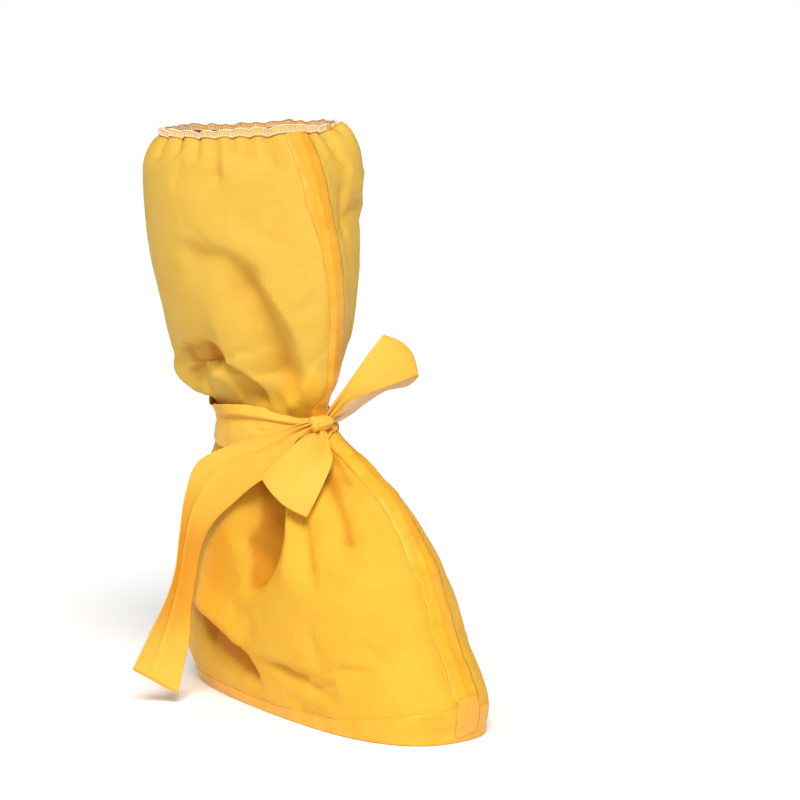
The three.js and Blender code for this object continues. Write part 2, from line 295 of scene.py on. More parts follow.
def film_cloth(name, light, deep, gloss, emboss, duller=None, hollow=None):
    """Nonwoven with a coloured film on it: an embossed diamond grain, a faint mottle, and a soft shine.
    The grain's lines lean GRAIN_TURN degrees to either side of the cloth's length. A piece's attribute for
    the leg's painted shade turns it to the duller pair of colours, and its attribute for painted shade in
    the hollows deepens it."""
    paint = Paint(name)
    cut = paint.add("ShaderNodeUVMap", uv_map="cloth").outputs["UV"]
    grain = []
    for turn in (GRAIN_TURN, -GRAIN_TURN):
        turned = paint.add("ShaderNodeMapping", Rotation=(0, 0, math.radians(turn)))
        paint.join(cut, turned, "Vector")
        wave = paint.add("ShaderNodeTexWave", Scale=260.0, Distortion=1.6, Detail=1.0, Detail_Scale=1.4)
        paint.join(turned.outputs[0], wave, "Vector")
        grain.append(wave.outputs["Fac"])
    diamonds = paint.math("MULTIPLY", grain[0], grain[1])
    mottle = paint.noise(scale=38.0, detail=5.0, roughness=0.62)
    fibres = paint.noise(scale=1500.0, detail=2.0)
    share = paint.math("ADD", paint.ramp(mottle, -0.2, 0.6, 0.3, 0.7), paint.ramp(diamonds, 0.35, -0.15))
    colour = paint.blend(share, light, deep)
    if duller is not None:
        colour = paint.turned_by("slack", colour, paint.blend(share, *duller))
    if hollow is not None:
        colour = paint.turned_by("hollow", colour, hollow)
    pressed = paint.bump(diamonds, emboss, 0.0004)
    return paint.finish(colour, paint.bump(fibres, 0.25, 0.00015, pressed), Specular_IOR_Level=0.16,
                        Roughness=paint.ramp(mottle, gloss - 0.05, gloss + 0.07, 0.3, 0.7))


def bare_cloth(name, light, deep):
    """The uncoated side of the nonwoven: matt, with a tangle of short fibres."""
    paint = Paint(name)
    tangle = paint.noise(scale=700.0, detail=6.0, roughness=0.7)
    cloud = paint.noise(scale=60.0)
    share = paint.math("ADD", paint.ramp(tangle, 0.0, 0.7, 0.35, 0.65),
                       paint.ramp(cloud, 0.0, 0.3, 0.35, 0.65))
    return paint.finish(paint.blend(share, light, deep), paint.bump(tangle, 0.4, 0.0002),
                        Roughness=0.85, Sheen_Weight=0.3, Sheen_Roughness=0.5)


SOLE_SHEET = 0.9
SOLE_RINGS = 10
SOLE_MIDDLE = np.array([0.0, -10.0])
# The sole's edge takes every sixth point of the outline.
EVERY = 6

side_x, side_y, _ = half_outline(0)
rim = np.concatenate([np.stack([side_x, side_y], 1)[::EVERY],
                      np.stack([-side_x, side_y], 1)[-1 - EVERY:0:-EVERY]])
vertices, faces = [(*SOLE_MIDDLE, 0)], []
count = len(rim)
for ring in range(1, SOLE_RINGS + 1):
    vertices += [(*(SOLE_MIDDLE + (corner - SOLE_MIDDLE) * ring / SOLE_RINGS), 0) for corner in rim]
for corner in range(count):
    beside = (corner + 1) % count
    faces.append((0, 1 + corner, 1 + beside))
    for ring in range(SOLE_RINGS - 1):
        inner, outer = 1 + ring * count, 1 + (ring + 1) * count
        faces.append((inner + corner, outer + corner, outer + beside, inner + beside))
sole = link("sole_sheet", np.array(vertices) * MM, faces, smooth=False)
cut_map = sole.data.uv_layers.new(name="cloth")
for loop in sole.data.loops:
    cut_map.data[loop.index].uv = sole.data.vertices[loop.vertex_index].co[:2]
sole.data.materials.append(film_cloth("sole_film", (0.86, 0.50, 0.10), (0.78, 0.42, 0.07), 0.6, 0.5))
finish_with(sole, "sheet", "SOLIDIFY", thickness=SOLE_SHEET * MM, offset=-1)
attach(sole, "root")
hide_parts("sole")


# The anti-slip dots: small round drops of a rubbery print on the underside of the sole sheet, in rows
# like a honeycomb, up to a bare edge where the sheet is sewn.
DOT_PITCH = 9.0
DOT_RADIUS = 2.1
DOT_HEIGHT = 0.6
DOT_SIDES = 8
DOT_EDGE = 9.0
# A dot's rings of points, each in shares of its radius and of its height.
DOT_RINGS = [(1.0, 0.0), (0.85, 0.75), (0.4, 1.0)]


def tube_faces(first, rings, sides):
    """Faces of a closed tube of rings of points; first is its first point's place in its mesh."""
    faces = []
    last = first + (rings - 1) * sides
    for low in range(first, last, sides):
        high = low + sides
        for side in range(sides):
            after = (side + 1) % sides
            faces.append((low + side, low + after, high + after, high + side))
    faces.append(tuple(reversed(range(first, first + sides))))
    faces.append(tuple(range(last, last + sides)))
    return faces


dots, dot_faces = [], []
turn = np.linspace(0, 2 * np.pi, DOT_SIDES, endpoint=False)
circle = np.stack([np.cos(turn), np.sin(turn)], 1)
row_y = np.arange(side_y.min() + DOT_EDGE, side_y.max() - DOT_EDGE, DOT_PITCH * math.sqrt(3) / 2)
for row, y in enumerate(row_y):
    half_width = np.interp(y, side_y, side_x) - DOT_EDGE
    for x in np.arange(-math.floor(half_width / DOT_PITCH) * DOT_PITCH, half_width, DOT_PITCH):
        x += (row % 2) * DOT_PITCH / 2
        if abs(x) > half_width:
            continue
        dot_faces += [face[::-1] for face in tube_faces(len(dots), len(DOT_RINGS), DOT_SIDES)]
        for spread, drop in DOT_RINGS:
            for point in circle * DOT_RADIUS * spread:
                dots.append((x + point[0], y + point[1], -SOLE_SHEET - drop * DOT_HEIGHT))
grip = link("anti_slip_dots", np.array(dots) * MM, dot_faces)
rubber = Paint("grip_print")
tone = rubber.noise(scale=300.0)
print_tone = rubber.blend(tone, (0.80, 0.68, 0.45), (0.72, 0.58, 0.34))
grip.data.materials.append(rubber.finish(print_tone, rubber.bump(tone, 0.2, 0.0002), Roughness=0.45))
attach(grip, "root")


# The upper: one sheet of nonwoven with a yellow film on its outside, wrapped round leg and foot and
# closed down the front. It hangs loose from the gathered hem, is drawn in at the ankle and slouches
# over the shoe, so it is creased where the strap pulls it and puckered along every seam.
LEG_TOP = 423
LOWEST_ROW = -0.3
SIDE_COLUMNS = 60
TAPE_COLUMNS = 3
TAPE_HALF_WIDTH = 10.5
TAPE_DEGREES = 7
CLOTH_ROWS = 96
CLOTH_WALL = 0.5
WAIST = 213
BAND_HALF_HEIGHT = 17
# The ankle's dent beside the knot, on the wearer's left: degrees round, millimetres up, and how wide,
# tall and deep it is.
DENT = (46, 208, 25, 20, 8)
# A crease follows a line of places, each in degrees round from the front seam (negative on the wearer's
# right) and millimetres up. Its two flanks reach left and right of the way it runs, as wide as given in
# millimetres; power 1 makes a sharp crease, 2 a soft one; a depth below 0 is a dent.
Crease = namedtuple("Crease", "depth left right power path")
CREASES = [Crease(*row) for row in (
    # the long pull from the strap's knot up and round the leg
    (-12, 8, 24, 1.9, [(-60, 338), (-48, 318), (-40, 298), (-34, 280), (-29, 262), (-27, 246), (-28, 232)]),
    (-5, 5, 22, 1.6, [(-92, 343), (-76, 341), (-62, 338), (-52, 333), (-44, 326), (-36, 316)]),
    (7, 18, 3, 1.1, [(-44, 326), (-32, 298), (-24, 280), (-20, 262), (-18, 246), (-16, 222)]),
    # pockets and bulges of the leg over the strap
    (-6, 2.5, 16, 1.4, [(-130, 258), (-112, 264), (-99, 267), (-88, 268), (-76, 264)]),
    (-17, 2.4, 24, 1.3, [(-66, 258), (-78, 254), (-92, 246), (-108, 240), (-124, 237), (-140, 235)]),
    (-8.5, 2.6, 20, 1.6, [(-86, 249), (-72, 252), (-62, 248), (-56, 242), (-52, 234), (-50, 214)]),
    (5, 18, 2.2, 1.5, [(-9, 260), (-16, 246), (-24, 233), (-34, 220), (-40, 206)]),
    (4.5, 13, 13, 2.0, [(0, 238), (-10, 234), (-22, 229), (-34, 222)]),
    (-1.8, 3, 6, 1.2, [(-32, 252), (-27, 255), (-22, 258)]),
    (10, 14, 15, 2.0, [(-168, 236), (-138, 236), (-110, 240)]),
    (-3, 24, 24, 2.0, [(-38, 395), (-34, 365), (-38, 345)]),
    (-1.8, 12, 18, 1.8, [(-64, 402), (-56, 388), (-48, 372), (-34, 352)]),
    (-1.5, 8, 14, 1.6, [(-86, 405), (-70, 396), (-54, 388)]),
    # the wearer's left of the leg
    (-4, 4, 10, 1.4, [(24, 390), (20, 378), (16, 364), (14, 340)]),
    (-3.5, 4, 9, 1.4, [(14, 362), (30, 370), (52, 376)]),
    (3, 7, 7, 2.0, [(24, 393), (34, 391), (44, 382)]),
    (5, 34, 34, 2.2, [(60, 404), (64, 385), (66, 362)]),
    (3, 26, 26, 2.0, [(8, 178), (8, 155), (10, 125), (12, 100)]),
    (-7, 12, 5, 1.6, [(40, 330), (34, 300), (30, 275), (24, 245), (22, 215)]),
    (-5, 5, 18, 1.6, [(60, 262), (52, 248), (46, 234), (44, 215)]),
    (-5, 16, 5, 1.6, [(118, 335), (96, 326), (74, 310), (58, 290)]),
    (-8, 5, 14, 1.6, [(92, 268), (86, 252), (84, 236), (86, 215)]),
    (-6, 5, 14, 1.6, [(132, 262), (126, 248), (124, 234), (124, 215)]),
    # the back of the leg
    (7, 14, 14, 2.0, [(150, 243), (180, 240), (206, 243)]),
    (-8, 6, 12, 1.6, [(168, 300), (166, 272), (160, 250), (158, 215)]),
    (-7, 12, 5, 1.6, [(-162, 290), (-168, 266), (-170, 246), (-168, 215)]),
    (-6, 5, 18, 1.6, [(-176, 350), (-160, 342), (-146, 328), (-138, 306)]),
    (-4, 14, 14, 2.0, [(160, 405), (180, 380), (196, 360)]),
    # the foot: the deep hollow below the strap, and the pulls that run down from the ankle
    (-17, 7, 26, 2.0, [(-64, 200), (-64, 168), (-67, 145), (-72, 124), (-82, 104), (-96, 90)]),
    (-8, 14, 24, 2.2, [(-80, 198), (-80, 170), (-82, 146), (-86, 124), (-92, 108)]),
    (4, 10, 4, 1.3, [(-56, 180), (-58, 150), (-61, 122), (-68, 100)]),
    (-5, 6, 8, 1.6, [(-46, 200), (-49, 165), (-50, 130), (-49, 96)]),
    (-5.5, 9, 9, 2.0, [(-26, 200), (-26, 168), (-27, 145), (-28, 126)]),
    (-4, 6, 6, 1.8, [(-12, 205), (-13, 188), (-14, 170)]),
    (-5, 6, 12, 1.8, [(-112, 205), (-112, 180), (-116, 158), (-122, 136)]),
    (-5, 12, 6, 1.8, [(-142, 205), (-144, 180), (-146, 150)]),
    (-5, 6, 12, 1.8, [(180, 205), (178, 180), (182, 152)]),
    (-13, 4, 20, 1.5, [(-140, 59), (-130, 56), (-121, 53), (-108, 45), (-101, 36), (-98, 18)]),
    (-7, 12, 18, 2.0, [(-172, 66), (-152, 62), (-138, 58), (-126, 54)]),
    (6, 14, 8, 1.8, [(-138, 74), (-120, 68), (-106, 58), (-98, 46)]),
    (-2.4, 1.8, 5, 1.2, [(-51, 44), (-46, 47), (-39, 49), (-31, 49)]),
    (-1.8, 3, 7, 1.4, [(-84, 40), (-72, 40), (-60, 38), (-50, 33)]),
    (-1.8, 3, 7, 1.4, [(-78, 17), (-66, 12), (-54, 8)]),
    (-2.4, 2.5, 8, 1.3, [(-94, 42), (-80, 39), (-68, 35), (-58, 29), (-51, 20)]),
    (-2.2, 3, 9, 1.4, [(-54, 76), (-53, 58), (-52, 40), (-52, 12)]),
    (-1.4, 3, 5, 1.4, [(-34, 68), (-26, 62), (-20, 52)]),
    (-1.6, 3, 4, 1.3, [(-22, 34), (-12, 31), (-2, 34)]),
    (-11, 26, 7, 1.8, [(62, 196), (62, 168), (66, 142), (76, 116), (92, 100)]),
    (-5, 7, 8, 1.8, [(34, 200), (36, 168), (38, 138), (40, 112)]),
    (-5, 7, 7, 1.8, [(14, 203), (16, 182), (18, 160)]),
    (-5, 8, 8, 1.8, [(108, 203), (110, 180), (118, 152)]),
    (-5, 8, 8, 1.8, [(146, 203), (146, 178), (150, 152)]),
    (-8, 14, 5, 1.6, [(152, 58), (134, 52), (116, 42), (104, 24)]),
    (-2.5, 3, 8, 1.4, [(44, 46), (60, 42), (78, 40)]),
    (-2, 7, 3, 1.4, [(28, 66), (40, 58), (50, 44)]),
    # puckers that hang from the elastic hem
    (-4.5, 3, 5, 1.3, [(-104, 436), (-103, 418), (-101, 406)]),
    (-5, 3, 5, 1.3, [(-88, 436), (-86, 420), (-84, 408)]),
    (-5, 3, 5, 1.3, [(-73, 436), (-71, 418), (-69, 404)]),
    (-5.5, 3, 7, 1.3, [(-60, 436), (-58, 416), (-56, 402), (-55, 388)]),
    (-5, 3, 5, 1.3, [(-48, 436), (-47, 420), (-46, 408)]),
    (-5, 3, 5, 1.3, [(-37, 436), (-36, 416), (-35, 402)]),
    (-6, 3, 7, 1.3, [(-25, 436), (-22, 418), (-18, 407), (-16, 396)]),
    (-3, 3, 5, 1.3, [(6, 432), (8, 418), (10, 406)]),
    (-5, 3, 6, 1.3, [(18, 436), (20, 416), (24, 400)]),
    (-3, 3, 5, 1.3, [(32, 432), (33, 418), (34, 410)]),
)]
# How deep a crease still is at its two ends, and the share of its length over which it reaches full depth.
CREASE_AT_ENDS = 0.12
CREASE_FADE = 0.22
# Where the loose cloth puffs up beside the hem: degrees round, degrees wide, and millimetres of rise.
# They also bulge outwards, a little lower down.
PUFFS = [(44, 20, 7), (-120, 16, 2), (150, 18, 3)]
PUFF_HEIGHT = 414
PUFF_REACH = 9
PUFF_BULGE = 1.3
PUFF_BULGE_LOWER = 6
# The top edge stands higher in front on the wearer's left, by so many millimetres more than its mean.
EDGE_LIFT = 0.4
EDGE_RISE = 2.6
EDGE_HIGHEST_AT = 60
EDGE_SLOPE_FROM = 380
# The cloth lies flat where it is sewn to the sole: the height up to where it does, and over how much more
# its creases grow.
SEWN_FLAT = (1, 6)
# Smaller puckers under the hem, between the larger ones: their degrees round, and the depths and lengths
# in millimetres that they take in turn.
HEM_PUCKERS = [-170, -158, -149, -137, 45, 54, 66, 75, 88, 99, 108, 121, 133, 142, 154, 163, 174]
HEM_PUCKER_DEPTHS = [3.4, 2.8, 3.8, 3.0]
HEM_PUCKER_LENGTHS = [16, 26, 12, 34, 20]
# The strap has slipped down on the wearer's right: how far, and in degrees round where the slip starts
# in front and at the back, and over how many it grows.
STRAP_DROP = 5.5
SLIP_FRONT = (20, -30)
SLIP_BACK = (-175, 45)
# Under the strap the creases are pressed nearly flat. The flat part is narrower at the knot, as the strap
# is, and ends inside the strap's edges, by a margin that grows less from the sides to the back.
DRAWN_IN = 0.5
KNOT_TURN = -10
KNOT_TURN_REACH = 22
PRESSED_FLAT = 0.15
PRESSED_EASE = 8
PRESSED_MARGIN = 4
MARGIN_LESS = 5
MARGIN_LESS_FROM = 88
MARGIN_LESS_OVER = 15


def curve_between(a, b, c, d, t):
    """Values on a smooth curve from b to c at share t of the way; a and d are the values beyond them."""
    return 0.5 * (2 * b + (c - a) * t + (2 * a - 5 * b + 4 * c - d) * t ** 2
                  + (3 * b - a - 3 * c + d) * t ** 3)


def smooth_line(points, count=40):
    """Points spaced evenly along a smooth curve through the given ones."""
    points = np.array(points, float)
    padded = np.concatenate([[2 * points[0] - points[1]], points, [2 * points[-1] - points[-2]]])
    t = np.linspace(0, len(points) - 1, count)
    low = np.minimum(t.astype(int), len(points) - 2)
    return curve_between(*(padded[low + shift] for shift in range(4)), (t - low)[:, None])


def crease_depth(crease, at, z, mm_per_degree):
    """How far a crease lifts the cloth, in millimetres, at places in degrees round and millimetres up."""
    line = smooth_line(crease.path)
    best = np.full(at.shape, np.inf)
    side = np.zeros(at.shape)
    along = np.zeros(at.shape)
    for place in range(len(line) - 1):
        start, stop = line[place], line[place + 1]
        turned = (at - start[0] + 180) % 360 - 180
        off = np.stack([turned * mm_per_degree, z - start[1]])
        step = np.stack([(stop[0] - start[0]) * mm_per_degree, np.full(at.shape, stop[1] - start[1])])
        share = np.clip((off * step).sum(0) / (step * step).sum(0), 0, 1)
        away = np.hypot(*(off - share * step))
        nearer = away < best
        best = np.where(nearer, away, best)
        side = np.where(nearer, step[0] * off[1] - step[1] * off[0], side)
        along = np.where(nearer, (place + share) / (len(line) - 1), along)
    width = np.where(side > 0, crease.left, crease.right)
    fade = part_way(np.minimum(along, 1 - along), 0, CREASE_FADE)
    fade = CREASE_AT_ENDS + (1 - CREASE_AT_ENDS) * (fade * fade * (3 - 2 * fade))
    return crease.depth * fade * hump(best, width, crease.power)


def strap_middle(at):
    """The height of the ankle strap's middle."""
    slipped = part_way(at, *SLIP_FRONT) * part_way(at, *SLIP_BACK)
    return WAIST - STRAP_DROP * slipped * slipped * (3 - 2 * slipped)


def unit(vectors):
    return vectors / np.linalg.norm(vectors, axis=-1, keepdims=True)


def outward(points):
    """Unit normals of a grid of points[row, column] that is closed round."""
    round_it = np.roll(points, -1, axis=1) - np.roll(points, 1, axis=1)
    up_it = np.gradient(points, axis=0)
    return unit(np.cross(round_it, up_it))


def from_seam(columns, turn):
    """Columns counted from the front seam; a turn of them goes all the way round, negative on the right."""
    return np.where(columns <= turn / 2, columns, columns - turn)


def mirrored(distance, distances, results):
    """Results looked up by the distance from the front seam, negative on the wearer's right."""
    return np.sign(distance) * np.interp(np.abs(distance), distances, results)


def loose_cloth():
    """The upper as a grid of points in millimetres, before it settles."""
    columns = np.arange(2 * SIDE_COLUMNS)
    signed = from_seam(columns, 2 * SIDE_COLUMNS)
    heights = np.linspace(LOWEST_ROW, LEG_TOP, CLOTH_ROWS + 1)
    points = np.zeros((len(heights), len(columns), 3))
    at = np.zeros(points.shape[:2])
    scale = np.zeros(points.shape[:2])
    for row, z in enumerate(heights):
        x, y, length = half_outline(max(z, 0))
        tape = np.linspace(0, TAPE_HALF_WIDTH, TAPE_COLUMNS + 1)
        rest = np.linspace(TAPE_HALF_WIDTH, length[-1], SIDE_COLUMNS - TAPE_COLUMNS + 1)
        arcs = np.concatenate([tape, rest[1:]])[np.abs(signed)]
        points[row, :, 0] = np.sign(signed) * np.interp(arcs, length, x)
        points[row, :, 1] = np.interp(arcs, length, y)
        points[row, :, 2] = z
        at[row] = np.sign(signed) * 180 * arcs / length[-1]
        scale[row] = length[-1] / 180
    height = np.repeat(heights[:, None], len(columns), axis=1)
    creases = list(CREASES)
    for place, where in enumerate(HEM_PUCKERS):
        deep = HEM_PUCKER_DEPTHS[place % len(HEM_PUCKER_DEPTHS)]
        long = HEM_PUCKER_LENGTHS[place % len(HEM_PUCKER_LENGTHS)]
        path = [(where, 432), (where + 1, LEG_TOP - long / 2), (where + 2, LEG_TOP - long)]
        creases.append(Crease(-deep, 3, 5, 1.3, path))
    depth = sum(crease_depth(crease, at, height, scale) for crease in creases)
    strap_half = BAND_HALF_HEIGHT * (1 - DRAWN_IN * hump(at - KNOT_TURN, KNOT_TURN_REACH))
    margin = PRESSED_MARGIN - MARGIN_LESS * part_way(np.abs(at), MARGIN_LESS_FROM, MARGIN_LESS_OVER)
    free = part_way(np.abs(height - strap_middle(at)) - strap_half + margin, 0, PRESSED_EASE)
    depth *= PRESSED_FLAT + (1 - PRESSED_FLAT) * free
    where, up, wide, tall, deep = DENT
    depth -= deep * hump(at - where, wide) * hump(height - up, tall)
    depth *= part_way(height, *SEWN_FLAT)
    for where, wide, rise in PUFFS:
        turned = (at - where + 180) % 360 - 180
        bulge = hump(turned, wide) * (height < LEG_TOP - 1)
        points[..., 2] += rise * bulge * hump(height - PUFF_HEIGHT, PUFF_REACH)
        depth += PUFF_BULGE * rise * bulge * hump(height - PUFF_HEIGHT + PUFF_BULGE_LOWER, 2 * PUFF_REACH)
    points = points + depth[:, :, None] * outward(points)
    edge = part_way(height, EDGE_SLOPE_FROM, LEG_TOP - EDGE_SLOPE_FROM)
    points[..., 2] += edge * (EDGE_LIFT + EDGE_RISE * (1 + np.cos(np.radians(at - EDGE_HIGHEST_AT))))
    return points


def spline(points, times, axis, closed=False):
    """Values along an axis of a grid at fractional places, smooth through every grid point."""
    count = points.shape[axis]
    low = np.floor(times).astype(int)
    if not closed:
        low = np.clip(low, 0, count - 2)
    shape = [1] * points.ndim
    shape[axis] = len(times)
    t = (times - low).reshape(shape)

    def at(shift):
        place = (low + shift) % count if closed else np.clip(low + shift, 0, count - 1)
        return np.take(points, place, axis=axis)

    return curve_between(at(-1), at(0), at(1), at(2), t)


def grid_cloth(name, points, closed, cut, **attributes):
    """A mesh of quads from points[row, column] in metres; cut holds its size in metres before sewing.
    Each attribute is a grid of numbers that a material reads."""
    rows, columns = points.shape[:2]
    last = columns if closed else columns - 1
    faces, corners = [], []
    for row in range(rows - 1):
        for column in range(last):
            beside = (column + 1) % columns
            faces.append((row * columns + column, row * columns + beside,
                          (row + 1) * columns + beside, (row + 1) * columns + column))
            for right, up in ((0, 0), (1, 0), (1, 1), (0, 1)):
                corners += [(column + right) / last * cut[0], (row + up) / (rows - 1) * cut[1]]
    piece = link(name, points, faces)
    piece.data.uv_layers.new(name="cloth").data.foreach_set("uv", corners)
    for attribute, values in attributes.items():
        piece.data.attributes.new(attribute, "FLOAT", "POINT").data.foreach_set("value", values.ravel())
    return piece


SETTLE_FRAMES = 26
# The most that a point may move while the cloth settles, in millimetres.
MOST_MOVED = 5.0


def settled(points, hold, seam_hold, looser):
    """Lets the cloth settle from the given grid of points, held by its seams and loosely by its shape."""
    rows, columns = points.shape[:2]
    cloth_piece = grid_cloth("settling_cloth", points, True, (1, 1))
    levels = np.full((rows, columns), hold)
    levels[:, np.abs(from_seam(np.arange(columns), columns)) <= 2] = seam_hold
    levels[np.abs(points[..., 2] / MM - WAIST) < BAND_HALF_HEIGHT - 2] = 1
    levels[[0, 1, -1]] = 1
    held = cloth_piece.vertex_groups.new(name="held")
    for level in np.unique(levels):
        held.add(np.flatnonzero(levels == level).tolist(), float(level), "REPLACE")
    loose = cloth_piece.vertex_groups.new(name="loose")
    loose.add(list(range(rows * columns)), 1.0, "REPLACE")
    cloth_modifier = cloth_piece.modifiers.new("settle", "CLOTH")
    values = cloth_modifier.settings
    values.quality = 6
    values.mass = 0.15
    values.air_damping = 2
    values.tension_stiffness = values.compression_stiffness = 30
    values.shear_stiffness = 20
    values.bending_stiffness = 2
    values.tension_damping = values.compression_damping = values.shear_damping = 10
    values.bending_damping = 1
    values.vertex_group_mass = "held"
    values.pin_stiffness = 1
    values.vertex_group_shrink = "loose"
    values.shrink_min = values.shrink_max = -looser
    values.effector_weights.gravity = 0.3
    cloth_modifier.collision_settings.use_collision = False
    cloth_modifier.point_cache.frame_end = SETTLE_FRAMES
    for step in range(1, SETTLE_FRAMES + 1):
        bpy.context.scene.frame_set(step)
    shaped = cloth_piece.evaluated_get(bpy.context.evaluated_depsgraph_get()).to_mesh()
    found = np.zeros(rows * columns * 3)
    shaped.vertices.foreach_get("co", found)
    bpy.context.scene.frame_set(1)
    bpy.data.objects.remove(cloth_piece)
    moved = found.reshape(points.shape) - points
    far = np.linalg.norm(moved, axis=2, keepdims=True) / (MOST_MOVED * MM)
    return points + moved / np.maximum(1, far)


YELLOW_LIGHT = (0.95, 0.545, 0.050)
YELLOW_DEEP = (0.92, 0.47, 0.030)
# The leg's duller pair of colours: painted shade.
LEG_SHADE_LIGHT = (0.88, 0.555, 0.085)
LEG_SHADE_DEEP = (0.85, 0.50, 0.060)
# The deep colour of the painted shade in the hollows and under the strap end.
HOLLOW_SHADE_TONE = (0.66, 0.26, 0.012)
# The leg is painted a little paler and duller than the foot, as painted shade on the upright leg. It starts
# at this height, in metres, and higher up on the fold beside the knot, which keeps the foot's brighter
# colour as painted light.
LEG_SHADE_FROM = 0.220
LEG_SHADE_OVER = 0.004
KNOT_FOLD_X = -0.018
KNOT_FOLD_WIDE = 0.012
KNOT_FOLD_TALL = 0.028
KNOT_FOLD_ENDS_Y = 0.03
# Painted shade: in the folds' hollows the film is painted deeper in colour, where shade falls. A hollow is
# where the cloth
# around stands prouder: so many rows and columns around count, and the painted shade deepens between these
# two depths in millimetres.
HOLLOW_REACH = 8
HOLLOW_SHADE_FROM = -0.8
HOLLOW_SHADE_FULL = 6.0
# How strongly the painted shade of the hollows counts on the leg and on the foot, and how much more each
# gets at the side of the ankle and behind it.
LEG_HOLLOW_SHADE = (0.3, 0.9)
FOOT_HOLLOW_SHADE = (2.5, 1.7)
FOOT_TOP = 0.215
FOOT_TOP_EASE = 0.01
SIDE_FROM_Y = 0.03
SIDE_EASE = 0.02
# Painted shadow under the hanging strap end and painted shade in the heel's fold: degrees round, millimetres
# up, how wide, how tall and how much deeper in colour; there is none of it in front of SHADE_ENDS degrees.
SHADED = [
    (-78, 142, 18, 50, 0.36),
    (-104, 112, 20, 40, 0.3),
    (-114, 40, 18, 16, 0.75),
]
SHADE_ENDS = -58
SHADE_EASE = 8

cloth = settled(loose_cloth() * MM, hold=0.22, seam_hold=0.6, looser=0.003)
fine_columns = np.arange(4 * SIDE_COLUMNS) / 2
fine_rows = np.arange(2 * CLOTH_ROWS + 1) / 2
fine_cloth = spline(spline(cloth, fine_columns, 1, closed=True), fine_rows, 0)
fine_normals = outward(fine_cloth)

cloth_x, cloth_y, cloth_z = np.moveaxis(fine_cloth, 2, 0)
# Painted shade over the leg from the ankle up; the fold beside the knot stays in the foot's brighter colour
# higher up, as painted light.
fold_reach = KNOT_FOLD_TALL * hump(cloth_x - KNOT_FOLD_X, KNOT_FOLD_WIDE) * (cloth_y < KNOT_FOLD_ENDS_Y)
slack = part_way(cloth_z - fold_reach, LEG_SHADE_FROM, LEG_SHADE_OVER)

# Painted shade in the hollows: each point is compared with a blurred copy of the cloth around it.
around = fine_cloth
window = range(-HOLLOW_REACH, HOLLOW_REACH + 1)
for _ in range(3):
    tall = np.pad(around, ((HOLLOW_REACH, HOLLOW_REACH), (0, 0), (0, 0)), mode="edge")
    tall = [tall[HOLLOW_REACH + shift:HOLLOW_REACH + shift + len(around)] for shift in window]
    around = sum(tall) / len(window)
    around = sum(np.roll(around, shift, axis=1) for shift in window) / len(window)
sunk = ((around - fine_cloth) * fine_normals).sum(2) / MM
on_foot = part_way(cloth_z, FOOT_TOP, -FOOT_TOP_EASE)
at_side = part_way(cloth_y, SIDE_FROM_Y, SIDE_EASE)
leg_sunk = sunk * (LEG_HOLLOW_SHADE[0] + LEG_HOLLOW_SHADE[1] * at_side)
foot_sunk = FOOT_HOLLOW_SHADE[0] * sunk + FOOT_HOLLOW_SHADE[1] * at_side
sunk = leg_sunk * (1 - on_foot) + foot_sunk * on_foot
hollow = part_way(sunk, HOLLOW_SHADE_FROM, HOLLOW_SHADE_FULL - HOLLOW_SHADE_FROM)
fine_at = mirrored(from_seam(fine_columns, 2 * SIDE_COLUMNS),
                   [0, TAPE_COLUMNS, SIDE_COLUMNS], [0, TAPE_DEGREES, 180])
# Painted shadow under the strap end and painted shade in the heel's fold, added to the hollows' painted
# shade.
for where, up, wide, tall, deep in SHADED:
    shade = deep * hump(fine_at - where, wide) * hump(cloth_z / MM - up, tall)
    hollow += shade * part_way(fine_at, SHADE_ENDS, -SHADE_EASE)
hollow = np.clip(hollow, 0, 1)

upper = grid_cloth("upper_cloth", fine_cloth, True, (0.52, 0.46), slack=slack, hollow=hollow)
upper.data.materials.append(
    film_cloth("yellow_film", YELLOW_LIGHT, YELLOW_DEEP, 0.5, 1.0, (LEG_SHADE_LIGHT, LEG_SHADE_DEEP), HOLLOW_SHADE_TONE))
bare_side = bare_cloth("bare_nonwoven", (0.96, 0.72, 0.45), (0.92, 0.62, 0.32))
upper.data.materials.append(bare_side)
finish_with(upper, "wall", "SOLIDIFY", thickness=CLOTH_WALL * MM, offset=-1, material_offset=1)
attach(upper, "root")
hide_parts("upper")


# The sole seam's film: a heat-sealed strip of clear yellow film that closes the needle holes where the
# upper is sewn to the sole. It is widest at the toe, turns a little under the sole, and cockles.
FINE_COLUMNS = 4 * SIDE_COLUMNS
FINE_ROWS = 2 * CLOTH_ROWS
FILM_GAP = 0.25
FILM_EDGE_GAP = 0.05
FILM_THICKNESS = 0.15
FILM_LIGHT = (0.95, 0.50, 0.034)
FILM_DEEP = (0.92, 0.41, 0.018)
FILM_GLOSS = 0.46
# How the film turns under the sole's edge: millimetres outside it, and the height.
FILM_TURN = [(-4, -1.15), (0.1, -1.2), (0.45, -0.9)]
FILM_STEPS = 13
# The film's height in millimetres at degrees round from the toe.
FILM_HEIGHTS = ([0, 10, 27, 38, 55, 75, 100, 140, 180], [25, 24, 20, 16, 10, 8, 7, 7.5, 8])
FILM_FOOT = 0.2
WANDER_DRAWS = 4096


def row_of(z):
    """The fractional row of the upper's fine grid at a height in millimetres."""
    return (z - LOWEST_ROW) / (LEG_TOP - LOWEST_ROW) * FINE_ROWS


